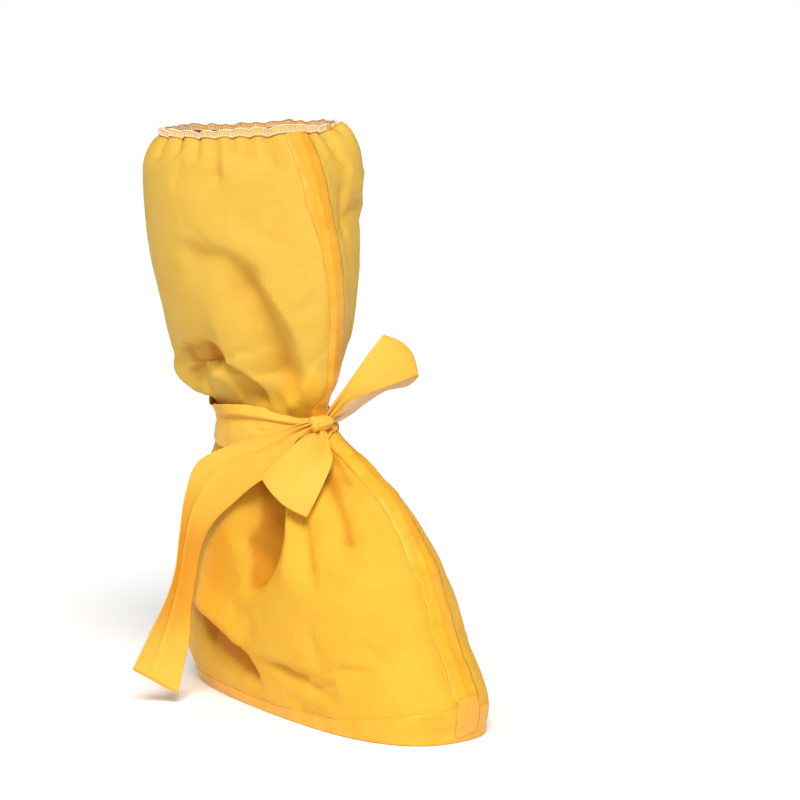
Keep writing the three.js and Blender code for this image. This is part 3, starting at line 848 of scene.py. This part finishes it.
def on_cloth(rows, columns):
    """Points and normals of the upper's outside at grids of fractional rows and columns."""
    rows, columns = np.broadcast_arrays(np.asarray(rows, float), np.asarray(columns, float))
    rows = np.clip(rows, 0, FINE_ROWS)
    low_row = np.clip(np.floor(rows).astype(int), 0, FINE_ROWS - 1)
    low_column = np.floor(columns).astype(int)
    up, over = (rows - low_row)[..., None], (columns - low_column)[..., None]
    found = []
    for grid in (fine_cloth, fine_normals):
        low, high = (grid[row, low_column % FINE_COLUMNS] * (1 - over)
                     + grid[row, (low_column + 1) % FINE_COLUMNS] * over for row in (low_row, low_row + 1))
        found.append(low * (1 - up) + high * up)
    return found[0], unit(found[1])


def wander(places, seed, pitch, closed=None):
    """A smooth random curve between -1 and 1 with a turn about every pitch; closed is its period."""
    places = np.asarray(places, float) / pitch
    draws = np.random.default_rng(seed).uniform(-1, 1, WANDER_DRAWS)
    period = WANDER_DRAWS if closed is None else max(int(round(closed / pitch)), 1)
    if closed is not None:
        places = places * period / (closed / pitch)
    low = np.floor(places).astype(int)
    t = places - low
    t = t * t * (3 - 2 * t)
    return draws[low % period] * (1 - t) + draws[(low + 1) % period] * t


def seam_film(name, light, deep, gloss, duller=None):
    """Clear yellow film, shinier and deeper in colour than the cloth, with fine heat cockles.
    A piece's attribute for the leg's painted shade turns it to the duller pair of colours."""
    paint = Paint(name)
    patch = paint.noise(scale=75.0, detail=4.0, roughness=0.6)
    cockle = paint.noise(scale=260.0, roughness=0.55)
    share = paint.ramp(patch, 0.0, 1.0, 0.32, 0.68)
    colour = paint.blend(share, light, deep)
    if duller is not None:
        colour = paint.turned_by("slack", colour, paint.blend(share, *duller))
    soft = paint.bump(patch, 0.35, 0.002)
    return paint.finish(colour, paint.bump(cockle, 0.3, 0.0008, soft),
                        Roughness=paint.ramp(patch, gloss - 0.06, gloss + 0.08, 0.3, 0.7),
                        Specular_IOR_Level=0.35, Coat_Weight=0.06, Coat_Roughness=0.25)


def film_on_cloth(name, points, closed, cut, material, **attributes):
    """A strip of seam film, with its thickness outside the given grid of points."""
    film = grid_cloth(name, points, closed, cut, **attributes)
    film.data.materials.append(material)
    finish_with(film, "film", "SOLIDIFY", thickness=FILM_THICKNESS * MM, offset=1)
    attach(film, "root")
    return film


columns = np.arange(FINE_COLUMNS)
film_top = np.interp(np.abs(from_seam(columns, FINE_COLUMNS)) * 360 / FINE_COLUMNS, *FILM_HEIGHTS)
ragged = 0.9 * wander(columns, 3, 9, FINE_COLUMNS) + 0.5 * wander(columns, 4, 3, FINE_COLUMNS)
film_top = film_top + ragged * film_top / 20
steps = np.linspace(0, 1, FILM_STEPS)[:, None]
spots, lifts = on_cloth(row_of(FILM_FOOT + steps * (film_top - FILM_FOOT)), columns)
cockle = 0.5 + 0.5 * wander(columns, 5, 4, FINE_COLUMNS)
lift = FILM_EDGE_GAP + (FILM_GAP + 0.5 * cockle) * (1 - steps ** 4)
flat_normal = unit(lifts[0] * np.array([1, 1, 0]))
turned_under = []
for out, z in FILM_TURN:
    turned_under.append(spots[0] + flat_normal * out * MM)
    turned_under[-1][:, 2] = z * MM
film_points = np.concatenate([turned_under, spots + (lift * MM)[..., None] * lifts])
sole_film = film_on_cloth("sole_seam_film", film_points, True, (0.72, 0.018),
                          seam_film("sealed_seam_film", FILM_LIGHT, FILM_DEEP, FILM_GLOSS))
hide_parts("sole_seam_tape")


# The front seam's film: the same strip over the closing seam, from the toe up to the hem. It bridges
# the ridge of the seam allowance, wanders a little from side to side and puckers where the cloth folds.
FRONT_FILM_COLUMNS = 12
FRONT_FILM_ROWS = 340
FRONT_FILM_LOW = 27
SEAM_RIDGE = 0.9
SEAM_RIDGE_WIDTH = 1.5
MM_PER_FINE_COLUMN = TAPE_HALF_WIDTH / TAPE_COLUMNS / 2
# Heights, and the share of the film's wearer's-right half that isn't folded under with the cloth there.
FOLDED_UNDER = ([216, 236, 300, 340, 375], [1, 0.35, 0.4, 0.6, 1])
# Where the seam and its film lie, in millimetres to the wearer's left, at heights.
SEAM_ASIDE = ([0, 25, 60, 110, 160, 213, 250, 300, 350, 423], [4, 5, 6, 5, 3, 0, 0, -2, -3, -5])
# Heights where the puckers start, in millimetres, and where the film is painted duller as the leg's painted
# shade, in metres, and over how much they do.
PUCKERS_FROM = (34, 12)
FILM_LEG_SHADE_FROM = (0.222, 0.02)


def front_strip():
    """The film's grid of points on the cloth along the front seam, with its ragged edges."""
    z = np.linspace(FRONT_FILM_LOW, LEG_TOP + 0.2, FRONT_FILM_ROWS)[:, None]
    share = np.linspace(-1, 1, FRONT_FILM_COLUMNS + 1)[None, :]
    left_edge = 0.10 * wander(z, 11, 15) + 0.06 * wander(z, 13, 4)
    right_edge = 0.10 * wander(z, 12, 13) + 0.06 * wander(z, 14, 5)
    ragged = 1 + left_edge * (share < 0) + right_edge * (share > 0)
    ragged = ragged * np.where(share < 0, np.interp(z, *FOLDED_UNDER), 1)
    aside = share * TAPE_HALF_WIDTH * ragged
    spots, lifts = on_cloth(row_of(z), (aside + np.interp(z, *SEAM_ASIDE)) / MM_PER_FINE_COLUMN)
    return spots + (film_lift(aside, z) * MM)[..., None] * lifts


def film_lift(aside, z):
    """How far the film stands off the cloth, so far aside of the seam's ridge and at height z."""
    ridge = SEAM_RIDGE * hump(aside, SEAM_RIDGE_WIDTH)
    leaning = z + 0.5 * aside
    puckers = np.clip(wander(leaning, 21, 11), 0, 1) + np.clip(wander(leaning, 22, 4), 0, 1) * 0.35
    puckers = puckers * part_way(z, *PUCKERS_FROM)
    inward = np.clip(1 - (np.abs(aside) / TAPE_HALF_WIDTH) ** 4, 0, 1)
    return FILM_EDGE_GAP + (FILM_GAP + ridge + puckers) * inward


film_points = front_strip()
# Above the ankle the film is painted duller, as the leg's painted shade.
front_film = film_on_cloth("front_seam_film", film_points, False, (0.021, 0.46),
                           seam_film("front_seam_film_clear", FILM_LIGHT, FILM_DEEP, FILM_GLOSS,
                                     ((0.88, 0.455, 0.038), (0.84, 0.37, 0.020))),
                           slack=part_way(film_points[..., 2], *FILM_LEG_SHADE_FROM))
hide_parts("front_seam_tape")


# The seam's stitches: a row of lock stitches of yellow thread beside the seam's ridge, which show
# through the film as small bars pressed into it. None are seen under the strap.
STITCH_LOW = 40
STITCH_PITCH = 4.2
STITCH_LONG = 3.0
STITCH_RADIUS = 0.28
STITCH_ASIDE = 2.6
STITCH_SIDES = 5
# How far the stitches end below the hem and stay clear of the strap.
STITCH_BELOW_HEM = 8
STITCH_CLEAR = 4
# How the middle of a stitch stands over its dipping ends.
STITCH_BOW = np.array([-0.25, 0.05, 0.12, 0.05, -0.25])


def thread(route, radius, sides=STITCH_SIDES):
    """Vertices and faces of a closed thin tube along a route of points in metres."""
    ahead = unit(np.gradient(route, axis=0))
    helper = np.where(np.abs(ahead[:, 2:3]) > 0.9, [[1.0, 0, 0]], [[0, 0, 1.0]])
    across = unit(np.cross(ahead, helper))
    upright = np.cross(ahead, across)
    turn = np.linspace(0, 2 * np.pi, sides, endpoint=False)
    taper = np.ones(len(route))
    taper[0] = taper[-1] = 0.4
    ring = across[:, None] * np.cos(turn)[:, None] + upright[:, None] * np.sin(turn)[:, None]
    vertices = route[:, None] + ring * radius * taper[:, None, None]
    return vertices.reshape(-1, 3), tube_faces(0, len(route), sides)


def sewn(name, threads, yarn, light, deep, twist_scale):
    """One piece of many threads, in a matt yarn whose twist shows as fine bands."""
    vertices, faces, first = [], [], 0
    for points, sides in threads:
        vertices.append(points)
        faces += [tuple(corner + first for corner in face) for face in sides]
        first += len(points)
    piece = link(name, np.concatenate(vertices), faces)
    paint = Paint(yarn)
    twist = paint.noise(twist_scale, detail=4.0, roughness=0.6)
    tone = paint.blend(paint.ramp(twist, 0, 1, 0.35, 0.65), light, deep)
    piece.data.materials.append(
        paint.finish(tone, paint.bump(twist, 0.4, 0.0002), Roughness=0.7, Sheen_Weight=0.2))
    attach(piece, "root")
    return piece


stitch_threads = []
for z in np.arange(STITCH_LOW, LEG_TOP - STITCH_BELOW_HEM, STITCH_PITCH):
    if abs(z - WAIST) < BAND_HALF_HEIGHT + STITCH_CLEAR:
        continue
    run = np.linspace(z, z + STITCH_LONG, len(STITCH_BOW))
    spots, lifts = on_cloth(row_of(run), (STITCH_ASIDE + np.interp(run, *SEAM_ASIDE)) / MM_PER_FINE_COLUMN)
    height = film_lift(np.full(len(run), STITCH_ASIDE), run) + FILM_THICKNESS + STITCH_BOW
    stitch_threads.append(thread(spots + (height * MM)[:, None] * lifts, STITCH_RADIUS * MM))
stitches = sewn("front_seam_stitches", stitch_threads,
                "seam_thread", (0.90, 0.36, 0.03), (0.80, 0.27, 0.02), twist_scale=2200.0)


# The toe patch: a short piece of the same clear film, pressed over the place where the two seam films
# cross. It is nearly square with pinched ends, a little askew, and swells over the seam's ridge.
PATCH_HALF_WIDTH = 11
PATCH_LOW = 3
PATCH_HIGH = 30
PATCH_ASIDE = 4
PATCH_MIDDLE = 15
PATCH_PINCH = 0.16
PATCH_LIFT = 1.35
# Over the front seam's film, from this height on, the patch stands higher.
PATCH_OVER_FILM = (22, 5)
# Millimetres from one fine column of the upper to the next beside the front seam, and how far that holds.
TOE_MM_PER_COLUMN = 2.75
TOE_REACH = 200

patch_z = np.linspace(PATCH_LOW, PATCH_HIGH, 20)[:, None]
share = np.linspace(-1, 1, 17)[None, :]
squeeze = 1 - PATCH_PINCH * np.abs(2 * (patch_z - PATCH_LOW) / (PATCH_HIGH - PATCH_LOW) - 1) ** 4
aside = share * PATCH_HALF_WIDTH * squeeze + PATCH_ASIDE
slanted = patch_z + 1.6 * share - 1.2 * share ** 4 * np.sign(patch_z - PATCH_MIDDLE)
tape_columns = TAPE_HALF_WIDTH / MM_PER_FINE_COLUMN
toe_columns = tape_columns + (TOE_REACH - TAPE_HALF_WIDTH) / TOE_MM_PER_COLUMN
patch_columns = mirrored(aside, [0, TAPE_HALF_WIDTH, TOE_REACH], [0, tape_columns, toe_columns])
spots, lifts = on_cloth(row_of(slanted), patch_columns)
swell = 0.5 + 0.9 * hump(aside - np.interp(patch_z, *SEAM_ASIDE), 3)
swell = PATCH_LIFT + swell * part_way(patch_z, *PATCH_OVER_FILM)
swell = swell + 0.2 * wander(aside, 31, 5) * (1 - share ** 4)
patch = film_on_cloth("toe_patch_film", spots + (swell * MM)[..., None] * lifts, False, (0.022, 0.024),
                      seam_film("toe_patch_clear", (0.96, 0.46, 0.055), (0.94, 0.41, 0.036), 0.42))
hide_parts("toe_patch")


# The elastic hem: the top edge of the cloth, turned over a thin elastic that gathers it, so that it
# draws in, scallops and rises and falls a little round the leg.
HEM_HEIGHT = 5.2
HEM_HALF_THICKNESS = 1.2
HEM_PROFILE = 14

hem_columns = np.arange(0, FINE_COLUMNS, 0.5)
base, base_normal = on_cloth(np.full(len(hem_columns), FINE_ROWS), hem_columns)
hem_out = unit(base_normal * np.array([1, 1, 0]))
ring_length = np.linalg.norm(np.roll(base, -1, 0) - base, axis=1).sum() / MM
hem_at = hem_columns / FINE_COLUMNS * ring_length
scallop = 0.6 * wander(hem_at, 41, 7, ring_length) + 0.35 * wander(hem_at, 42, 2.9, ring_length)
hem_rise = wander(hem_at, 43, 23, ring_length) + 0.4 * wander(hem_at, 44, 8, ring_length)


def hem_place(columns, turn, grow=0.0):
    """Points on the hem's rounded profile, turn 0 at its lower outer edge and 1 at its lower inner edge."""
    columns, turn = np.broadcast_arrays(np.asarray(columns, float), np.asarray(turn, float))
    place = (columns * 2) % len(hem_columns)
    low = np.floor(place).astype(int)
    share = (place - low)[..., None]
    high = (low + 1) % len(hem_columns)

    def read(values):
        return values[low] * (1 - share) + values[high] * share

    foot, out = read(base), read(hem_out)
    wave = read(scallop[:, None])[..., 0]
    rise = read(hem_rise[:, None])[..., 0]
    angle = np.pi * turn
    side = np.sign(np.cos(angle)) * np.abs(np.cos(angle)) ** 0.6
    up = np.abs(np.sin(angle)) ** 0.75
    thick = HEM_HALF_THICKNESS + grow
    offset = -CLOTH_WALL / 2 + thick * side * (0.75 + 0.25 * up) + wave * (0.35 + 0.65 * up)
    height = up * (HEM_HEIGHT + grow) + rise * up - 0.2
    point = foot + out * (offset * MM)[..., None]
    point[..., 2] += height * MM
    return point


turns = np.linspace(0, 1, HEM_PROFILE)[:, None]
hem = grid_cloth("hem_fold", hem_place(hem_columns[None, :], turns), True, (0.52, 0.016))
hem.data.materials.append(film_cloth("hem_cloth", (0.95, 0.56, 0.12), (0.90, 0.44, 0.05), 0.5, 0.6))
finish_with(hem, "wall", "SOLIDIFY", thickness=CLOTH_WALL * MM, offset=-1)
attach(hem, "root")
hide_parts("top_elastic_hem")


# The overlock: cream thread that holds the turned edge and its elastic. It is a ladder of rungs over the
# hem, with a running thread along each of its lower edges and two on its top.
RUNG_PITCH = 2.1
RUNG_RADIUS = 0.3
RUNG_SIDES = 4
RUNG_LEAN = 0.35
# A rung's points, as places on the hem's profile, and how far the thread lies over it.
RUNG_TURNS = np.array([0.005, 0.10, 0.25, 0.42, 0.58, 0.75, 0.90, 0.995])
RUNG_LIFT = 0.22
# The running threads: their place on the hem's profile, how far they swing there, and their radius.
RUNNING_THREADS = [(0.035, 0.025, 0.34), (0.965, 0.025, 0.34), (0.44, 0.03, 0.46), (0.56, 0.03, 0.46)]
RUNNING_LIFT = 0.34

overlock = []
rung_count = int(ring_length / RUNG_PITCH)
leans = np.random.default_rng(45).uniform(-RUNG_LEAN, RUNG_LEAN, rung_count)
for rung in range(rung_count):
    column = rung / rung_count * FINE_COLUMNS + leans[rung] * np.linspace(-1, 1, len(RUNG_TURNS))
    overlock.append(thread(hem_place(column, RUNG_TURNS, RUNG_LIFT), RUNG_RADIUS * MM, RUNG_SIDES))
dense = np.arange(0, FINE_COLUMNS, FINE_COLUMNS / (rung_count * 4))
zigzag = np.sin(np.pi / 2 * (np.arange(len(dense)) % 4))
for turn, swing, radius in RUNNING_THREADS:
    running = hem_place(dense, turn + swing * zigzag, RUNNING_LIFT)
    overlock.append(thread(np.concatenate([running, running[:1]]), radius * MM))
overlock_thread = sewn("hem_overlock_thread", overlock,
                       "cream_thread", (0.97, 0.88, 0.72), (0.95, 0.80, 0.58), twist_scale=2600.0)


# The ankle strap: a wide tape of the same cloth, drawn tight round the ankle over the upper. It is
# full width at the back and creases together towards the knot in front.
BAND_GAP = 0.9
BAND_LIFT = 2.2
STRAP_THICKNESS = 0.5
BAND_ROWS = 44
KNOT_ROUND_AT = -12.0
# The strap draws together towards the knot, over these millimetres on the wearer's right and left, and
# more so on the left, where the loop leaves.
DRAWN_REACH = (34, 74.8)
DRAWN_MORE_LEFT = 0.3
DRAWN_MORE_OVER = 10
OVER_FILM = 1.5
OVER_FILM_REACH = 14
# The loose top edge stands off the ankle: by how much, and in degrees round where and how wide.
TOP_FLARE = 4.5
TOP_FLARE_AT = -114
TOP_FLARE_REACH = 30
# The strap's own creases: depth, reach above and below it, and its path in millimetres round and up from
# the strap's middle.
BAND_CREASES = [
    (-2.8, 0.9, 4.5, [(-104, 5.5), (-78, 7), (-52, 6), (-32, 3.5), (-14, 1)]),
    (1.5, 5.0, 0.8, [(-98, 7), (-78, 8.5), (-52, 7.5), (-32, 5), (-14, 2)]),
    (-1.5, 1.2, 3.4, [(-62, -1), (-46, -1.5), (-30, -1), (-14, -0.5)]),
    (-1.2, 1.2, 3.0, [(-70, -10), (-46, -7), (-22, -3)]),
    (-1.4, 2.6, 1.2, [(96, 6), (66, 5), (36, 3), (6, 1.5)]),
    (-1.2, 1.2, 2.8, [(84, -6), (54, -4.5), (26, -2.5), (4, -1)]),
    (-1.0, 2.0, 2.0, [(150, 3), (128, 2), (108, 4)]),
    (-1.0, 2.4, 1.4, [(-150, -4), (-134, -5), (-118, -3)]),
]

half_girth = half_outline(WAIST)[2][-1]
band_at = mirrored(from_seam(columns, FINE_COLUMNS),
                   [0, TAPE_COLUMNS * 2, FINE_COLUMNS // 2], [0, TAPE_HALF_WIDTH, half_girth])
turned = 180 * band_at / half_girth
from_knot = band_at - KNOT_ROUND_AT
drawn = hump(from_knot, np.where(from_knot < 0, *DRAWN_REACH))
drawn = drawn * (DRAWN_IN + DRAWN_MORE_LEFT * part_way(from_knot, 0, DRAWN_MORE_OVER))
band_middle = strap_middle(turned) + 0.6 * wander(band_at + 200, 51, 22)
level = np.linspace(-1, 1, BAND_ROWS + 1)[:, None]
level_up = level * BAND_HALF_HEIGHT * (1 - drawn) + 0.5 * wander(band_at + 200, 52, 11) * level
spots, lifts = on_cloth(row_of(band_middle + level_up), columns)
folds_in = np.zeros(level_up.shape)
for deep, above, below, path in BAND_CREASES:
    line = smooth_line(path, 30)
    order = np.argsort(line[:, 0])
    height_there = np.interp(band_at, line[order, 0], line[order, 1])
    reach = (band_at - line[:, 0].min()) / (line[:, 0].max() - line[:, 0].min())
    fade = part_way(np.minimum(reach, 1.3 - reach), 0, 0.25)
    gap = level_up - height_there
    folds_in += deep * fade * hump(gap, np.where(gap > 0, above, below), 1.4)
flare = TOP_FLARE * np.clip(level, 0, 1) ** 1.5 * hump(turned - TOP_FLARE_AT, TOP_FLARE_REACH)
band_lift = BAND_LIFT + OVER_FILM * hump(band_at, OVER_FILM_REACH) + folds_in
band_lift = band_lift + 0.25 * wander(band_at + 300, 53, 7) + flare
band_lift = np.maximum(band_lift, BAND_GAP) - 0.6 * np.abs(level) ** 6
band_points = spots + (band_lift * MM)[..., None] * lifts
band = grid_cloth("ankle_strap", band_points, True, (0.31, 0.042))
strap_cloth = film_cloth("strap_cloth", (0.97, 0.555, 0.078), (0.945, 0.495, 0.054), 0.46, 0.6)
band.data.materials.append(strap_cloth)
finish_with(band, "wall", "SOLIDIFY", thickness=STRAP_THICKNESS * MM, offset=1)
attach(band, "root")
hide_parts("ankle_band")


# The strap's free ends and its loop: the same tape, tied in a half bow over the front. Each leaves the
# knot in small pleats and opens out to its full width; the ends are cut off plain and hang down.
# A strip runs between two edge lines a and b, through these places in millimetres. Between them it is
# bowed by fold, and its tip reaches further in the middle.
Station = namedtuple("Station", "a b fold reach", defaults=(0,))
LONG_END = [
    ((-21.5, -23.4, 216.0), (-21.5, -24.6, 211.2), 0),
    ((-32.7, -15.7, 212.9), (-33.3, -20.3, 202.5), 2),
    ((-45, 6, 204), (-45, -16, 183), 3),
    ((-58, 34, 194), (-53, 4, 169), 3),
    ((-73, 49, 182), (-56, 26, 153), 3),
    ((-82, 52, 158), (-60, 46, 136), 3),
    ((-89, 50, 129), (-61, 60, 116), 2),
    ((-94, 49, 103), (-63, 65, 93), 2),
    ((-99, 54, 81), (-67, 66, 70), 1),
    ((-104, 65, 58), (-72, 62, 46), 1),
    ((-112, 80, 25), (-84, 61, 5), 0),
]
SHORT_END = [
    ((-18.5, -22.0, 209.5), (-9.5, -26.0, 209.0), 0),
    ((-33.4, -21.6, 201.8), (-14.2, -36.4, 198.6), -2),
    ((-45.6, -20.5, 193.1), (-20.3, -46.9, 189.3), -3),
    ((-54.8, -16.7, 184.7), (-31.4, -52.0, 176.2), -3),
    ((-59.9, -15.0, 179.8), (-41.4, -54.0, 163.4), -2, 2),
    ((-62.0, -14.6, 177.4), (-49.0, -52.8, 151.4), 0, 5),
]
BOW_LOOP = [
    ((-4.5, -19.4, 218.0), (-3.5, -21.0, 213.0), 0),
    ((-1.1, -22.6, 226.6), (2.5, -27.7, 221.5), 1),
    ((3.9, -29.4, 238.0), (8.0, -36.0, 231.0), 2),
    ((13.1, -34.5, 252.7), (20.8, -46.2, 237.5), 3),
    ((25.6, -34.5, 265.6), (40.8, -49.9, 242.7), 3, 2),
    ((40.9, -31.7, 276.6), (60.7, -48.3, 246.2), 1, 7),
    ((42.3, -23.7, 269.1), (59.5, -38.1, 237.4), -1, 5),
    ((32.4, -16.8, 252.7), (44.9, -29.8, 234.0), -2),
    ((20.5, -17.2, 239.3), (29.6, -24.9, 225.5), -2),
    ((11.0, -17.0, 229.5), (17.8, -22.8, 218.2), -1),
    ((2.1, -17.4, 221.5), (6.6, -21.2, 213.5), 0),
    ((-3.0, -17.1, 218.0), (-1.5, -19.0, 213.0), 0),
]
STRAP_ACROSS = 40
ROWS_PER_STATION = 12
STRAP_WIDE = 42
# The small pleats at the knot: their number, the most they stand up, where they start across the strap
# in radians, and how far they run from the knot.
KNOT_PLEATS = 2
KNOT_PLEAT_MOST = 1.7
KNOT_PLEAT_SHIFT = 0.9
KNOT_PLEAT_REACH = 14
Pleat = namedtuple("Pleat", "share depth wide start stop")


def strip(name, stations, pleats, cut, film_in_front=True, returns=False):
    """A strap between two edge lines. A pleat lies at a share across and runs from start to stop along."""
    stations = [Station(*row) for row in stations]
    pleats = [Pleat(*row) for row in pleats]
    count = (len(stations) - 1) * ROWS_PER_STATION + 1
    edge_a = smooth_line([station.a for station in stations], count)
    edge_b = smooth_line([station.b for station in stations], count)
    fold = smooth_line([(station.fold, station.reach) for station in stations], count)
    share = np.linspace(0, 1, STRAP_ACROSS + 1)[None, :]
    along = np.linspace(0, 1, count)[:, None]
    across = edge_b - edge_a
    ahead = np.gradient(edge_a, axis=0) + np.gradient(edge_b, axis=0)
    normal = unit(np.cross(across, ahead))
    out = fold[:, :1] * np.sin(np.pi * share)
    for pleat in pleats:
        middle = (pleat.start + pleat.stop) / 2
        half = (pleat.stop - pleat.start) / 2
        strength = np.clip(1 - ((along - middle) / half) ** 2, 0, 1)
        out = out + pleat.depth * strength * hump(share - pleat.share, pleat.wide, 1.5)
    steps = np.linalg.norm(np.diff((edge_a + edge_b) / 2, axis=0), axis=1)
    run = np.concatenate([[0], np.cumsum(steps)])
    wide = np.linalg.norm(across, axis=1)
    high = wide / KNOT_PLEATS / np.pi * np.sqrt(np.clip(STRAP_WIDE / wide - 1, 0, None))
    from_knot = np.minimum(run, run[-1] - run) if returns else run
    high = np.minimum(high, KNOT_PLEAT_MOST) * hump(from_knot, KNOT_PLEAT_REACH)
    small_pleats = np.sin(2 * np.pi * KNOT_PLEATS * share + KNOT_PLEAT_SHIFT) * np.sin(np.pi * share) ** 0.5
    out = out + high[:, None] * small_pleats
    points = edge_a[:, None] + across[:, None] * share[..., None] + normal[:, None] * out[..., None]
    tip = max(range(len(stations)), key=lambda place: (stations[place].reach, place))
    away = unit(np.array(stations[tip].a) + stations[tip].b - np.array(stations[0].a) - stations[0].b)
    points = points + (fold[:, 1:] * np.sin(np.pi * share))[..., None] * away
    if film_in_front:
        points = points[:, ::-1]
    piece = grid_cloth(name, points * MM, False, cut)
    piece.data.materials.append(strap_cloth)
    piece.data.materials.append(bare_side)
    finish_with(piece, "wall", "SOLIDIFY", thickness=STRAP_THICKNESS * MM, offset=0, material_offset=1)
    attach(piece, "root")
    return piece


long_end = strip("long_strap_end", LONG_END, [
    (0.28, -2.4, 0.07, -0.3, 0.34),
    (0.14, 1.2, 0.08, -0.3, 0.30),
    (0.60, -1.4, 0.10, -0.3, 0.22),
    (0.36, 1.2, 0.05, 0.22, 1.1),
], (0.042, 0.30))
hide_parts("long_tail")
short_end = strip("short_strap_end", SHORT_END, [
    (0.62, -2.6, 0.07, -0.5, 0.75),
    (0.30, 1.0, 0.16, -0.3, 0.6),
    (0.86, 1.0, 0.08, -0.3, 0.6),
], (0.042, 0.09))
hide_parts("short_tail")
bow = strip("bow_loop_strap", BOW_LOOP, [
    (0.35, -1.6, 0.10, -0.25, 0.30),
    (0.70, 1.2, 0.10, -0.25, 0.24),
    (0.4, -1.2, 0.12, 0.74, 1.2),
], (0.042, 0.19), film_in_front=False, returns=True)
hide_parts("bow_loop")


# The knot: the strap's end wrapped once round the crossing and pulled tight, so that it is rolled into
# a short bundle of lengthwise pleats with a narrow turn across its outer end.
KNOT = (-12.3, -23.4, 213.9)
KNOT_SIZE = (21, 12, 11.5)
KNOT_ROUND = 48
KNOT_ALONG = 40
KNOT_TWIST = 0.35
# The grooves between its pleats: where round it in radians, how deep as a share of its half, how wide.
KNOT_GROOVES = [
    (0.25, 0.13, 0.16),
    (-0.55, 0.16, 0.14),
    (1.1, 0.10, 0.18),
    (2.4, 0.14, 0.2),
    (-1.6, 0.12, 0.2),
    (-2.5, 0.14, 0.2),
]
# The narrow turn across its outer end, the groove beside that, and the tuck at its other end: where along
# the knot, how wide and how high, as shares of its half, and in radians where round it the tuck is.
END_TURN = (-0.72, 0.13, 0.13)
END_GROOVE = (-0.50, 0.06, -0.10)
TUCK = (0.62, 0.2, -0.34)
TUCK_ROUND = (2 * np.pi - 0.75, 0.45)

angle = np.linspace(0, 2 * np.pi, KNOT_ROUND, endpoint=False)[None, :]
along = np.linspace(-1, 1, KNOT_ALONG + 1)[:, None]
belly = (1 - np.abs(along) ** 4.5) ** 0.5
grooves = np.zeros((KNOT_ALONG + 1, KNOT_ROUND))
for where, deep, wide in KNOT_GROOVES:
    grooves -= deep * hump((angle - KNOT_TWIST * along - where + np.pi) % (2 * np.pi) - np.pi, wide)
collar = END_TURN[2] * hump(along - END_TURN[0], END_TURN[1], 4)
collar = collar + END_GROOVE[2] * hump(along - END_GROOVE[0], END_GROOVE[1])
tuck = TUCK[2] * hump(along - TUCK[0], TUCK[1]) * hump(angle - TUCK_ROUND[0], TUCK_ROUND[1])
radius = belly * (0.97 + grooves * (1 - np.abs(along) ** 3) + collar) + tuck
knot_points = np.stack([
    KNOT[0] + KNOT_SIZE[0] / 2 * along + 0 * angle,
    KNOT[1] - KNOT_SIZE[1] / 2 * radius * np.cos(angle),
    KNOT[2] + KNOT_SIZE[2] / 2 * radius * np.sin(angle) + 0.8 * along * np.cos(angle)], -1)
knot = grid_cloth("strap_knot", knot_points * MM, True, (0.05, 0.024))
finish_with(knot, "ends", "WELD", merge_threshold=0.00005)
knot.data.materials.append(strap_cloth)
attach(knot, "root")
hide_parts("bow_knot")
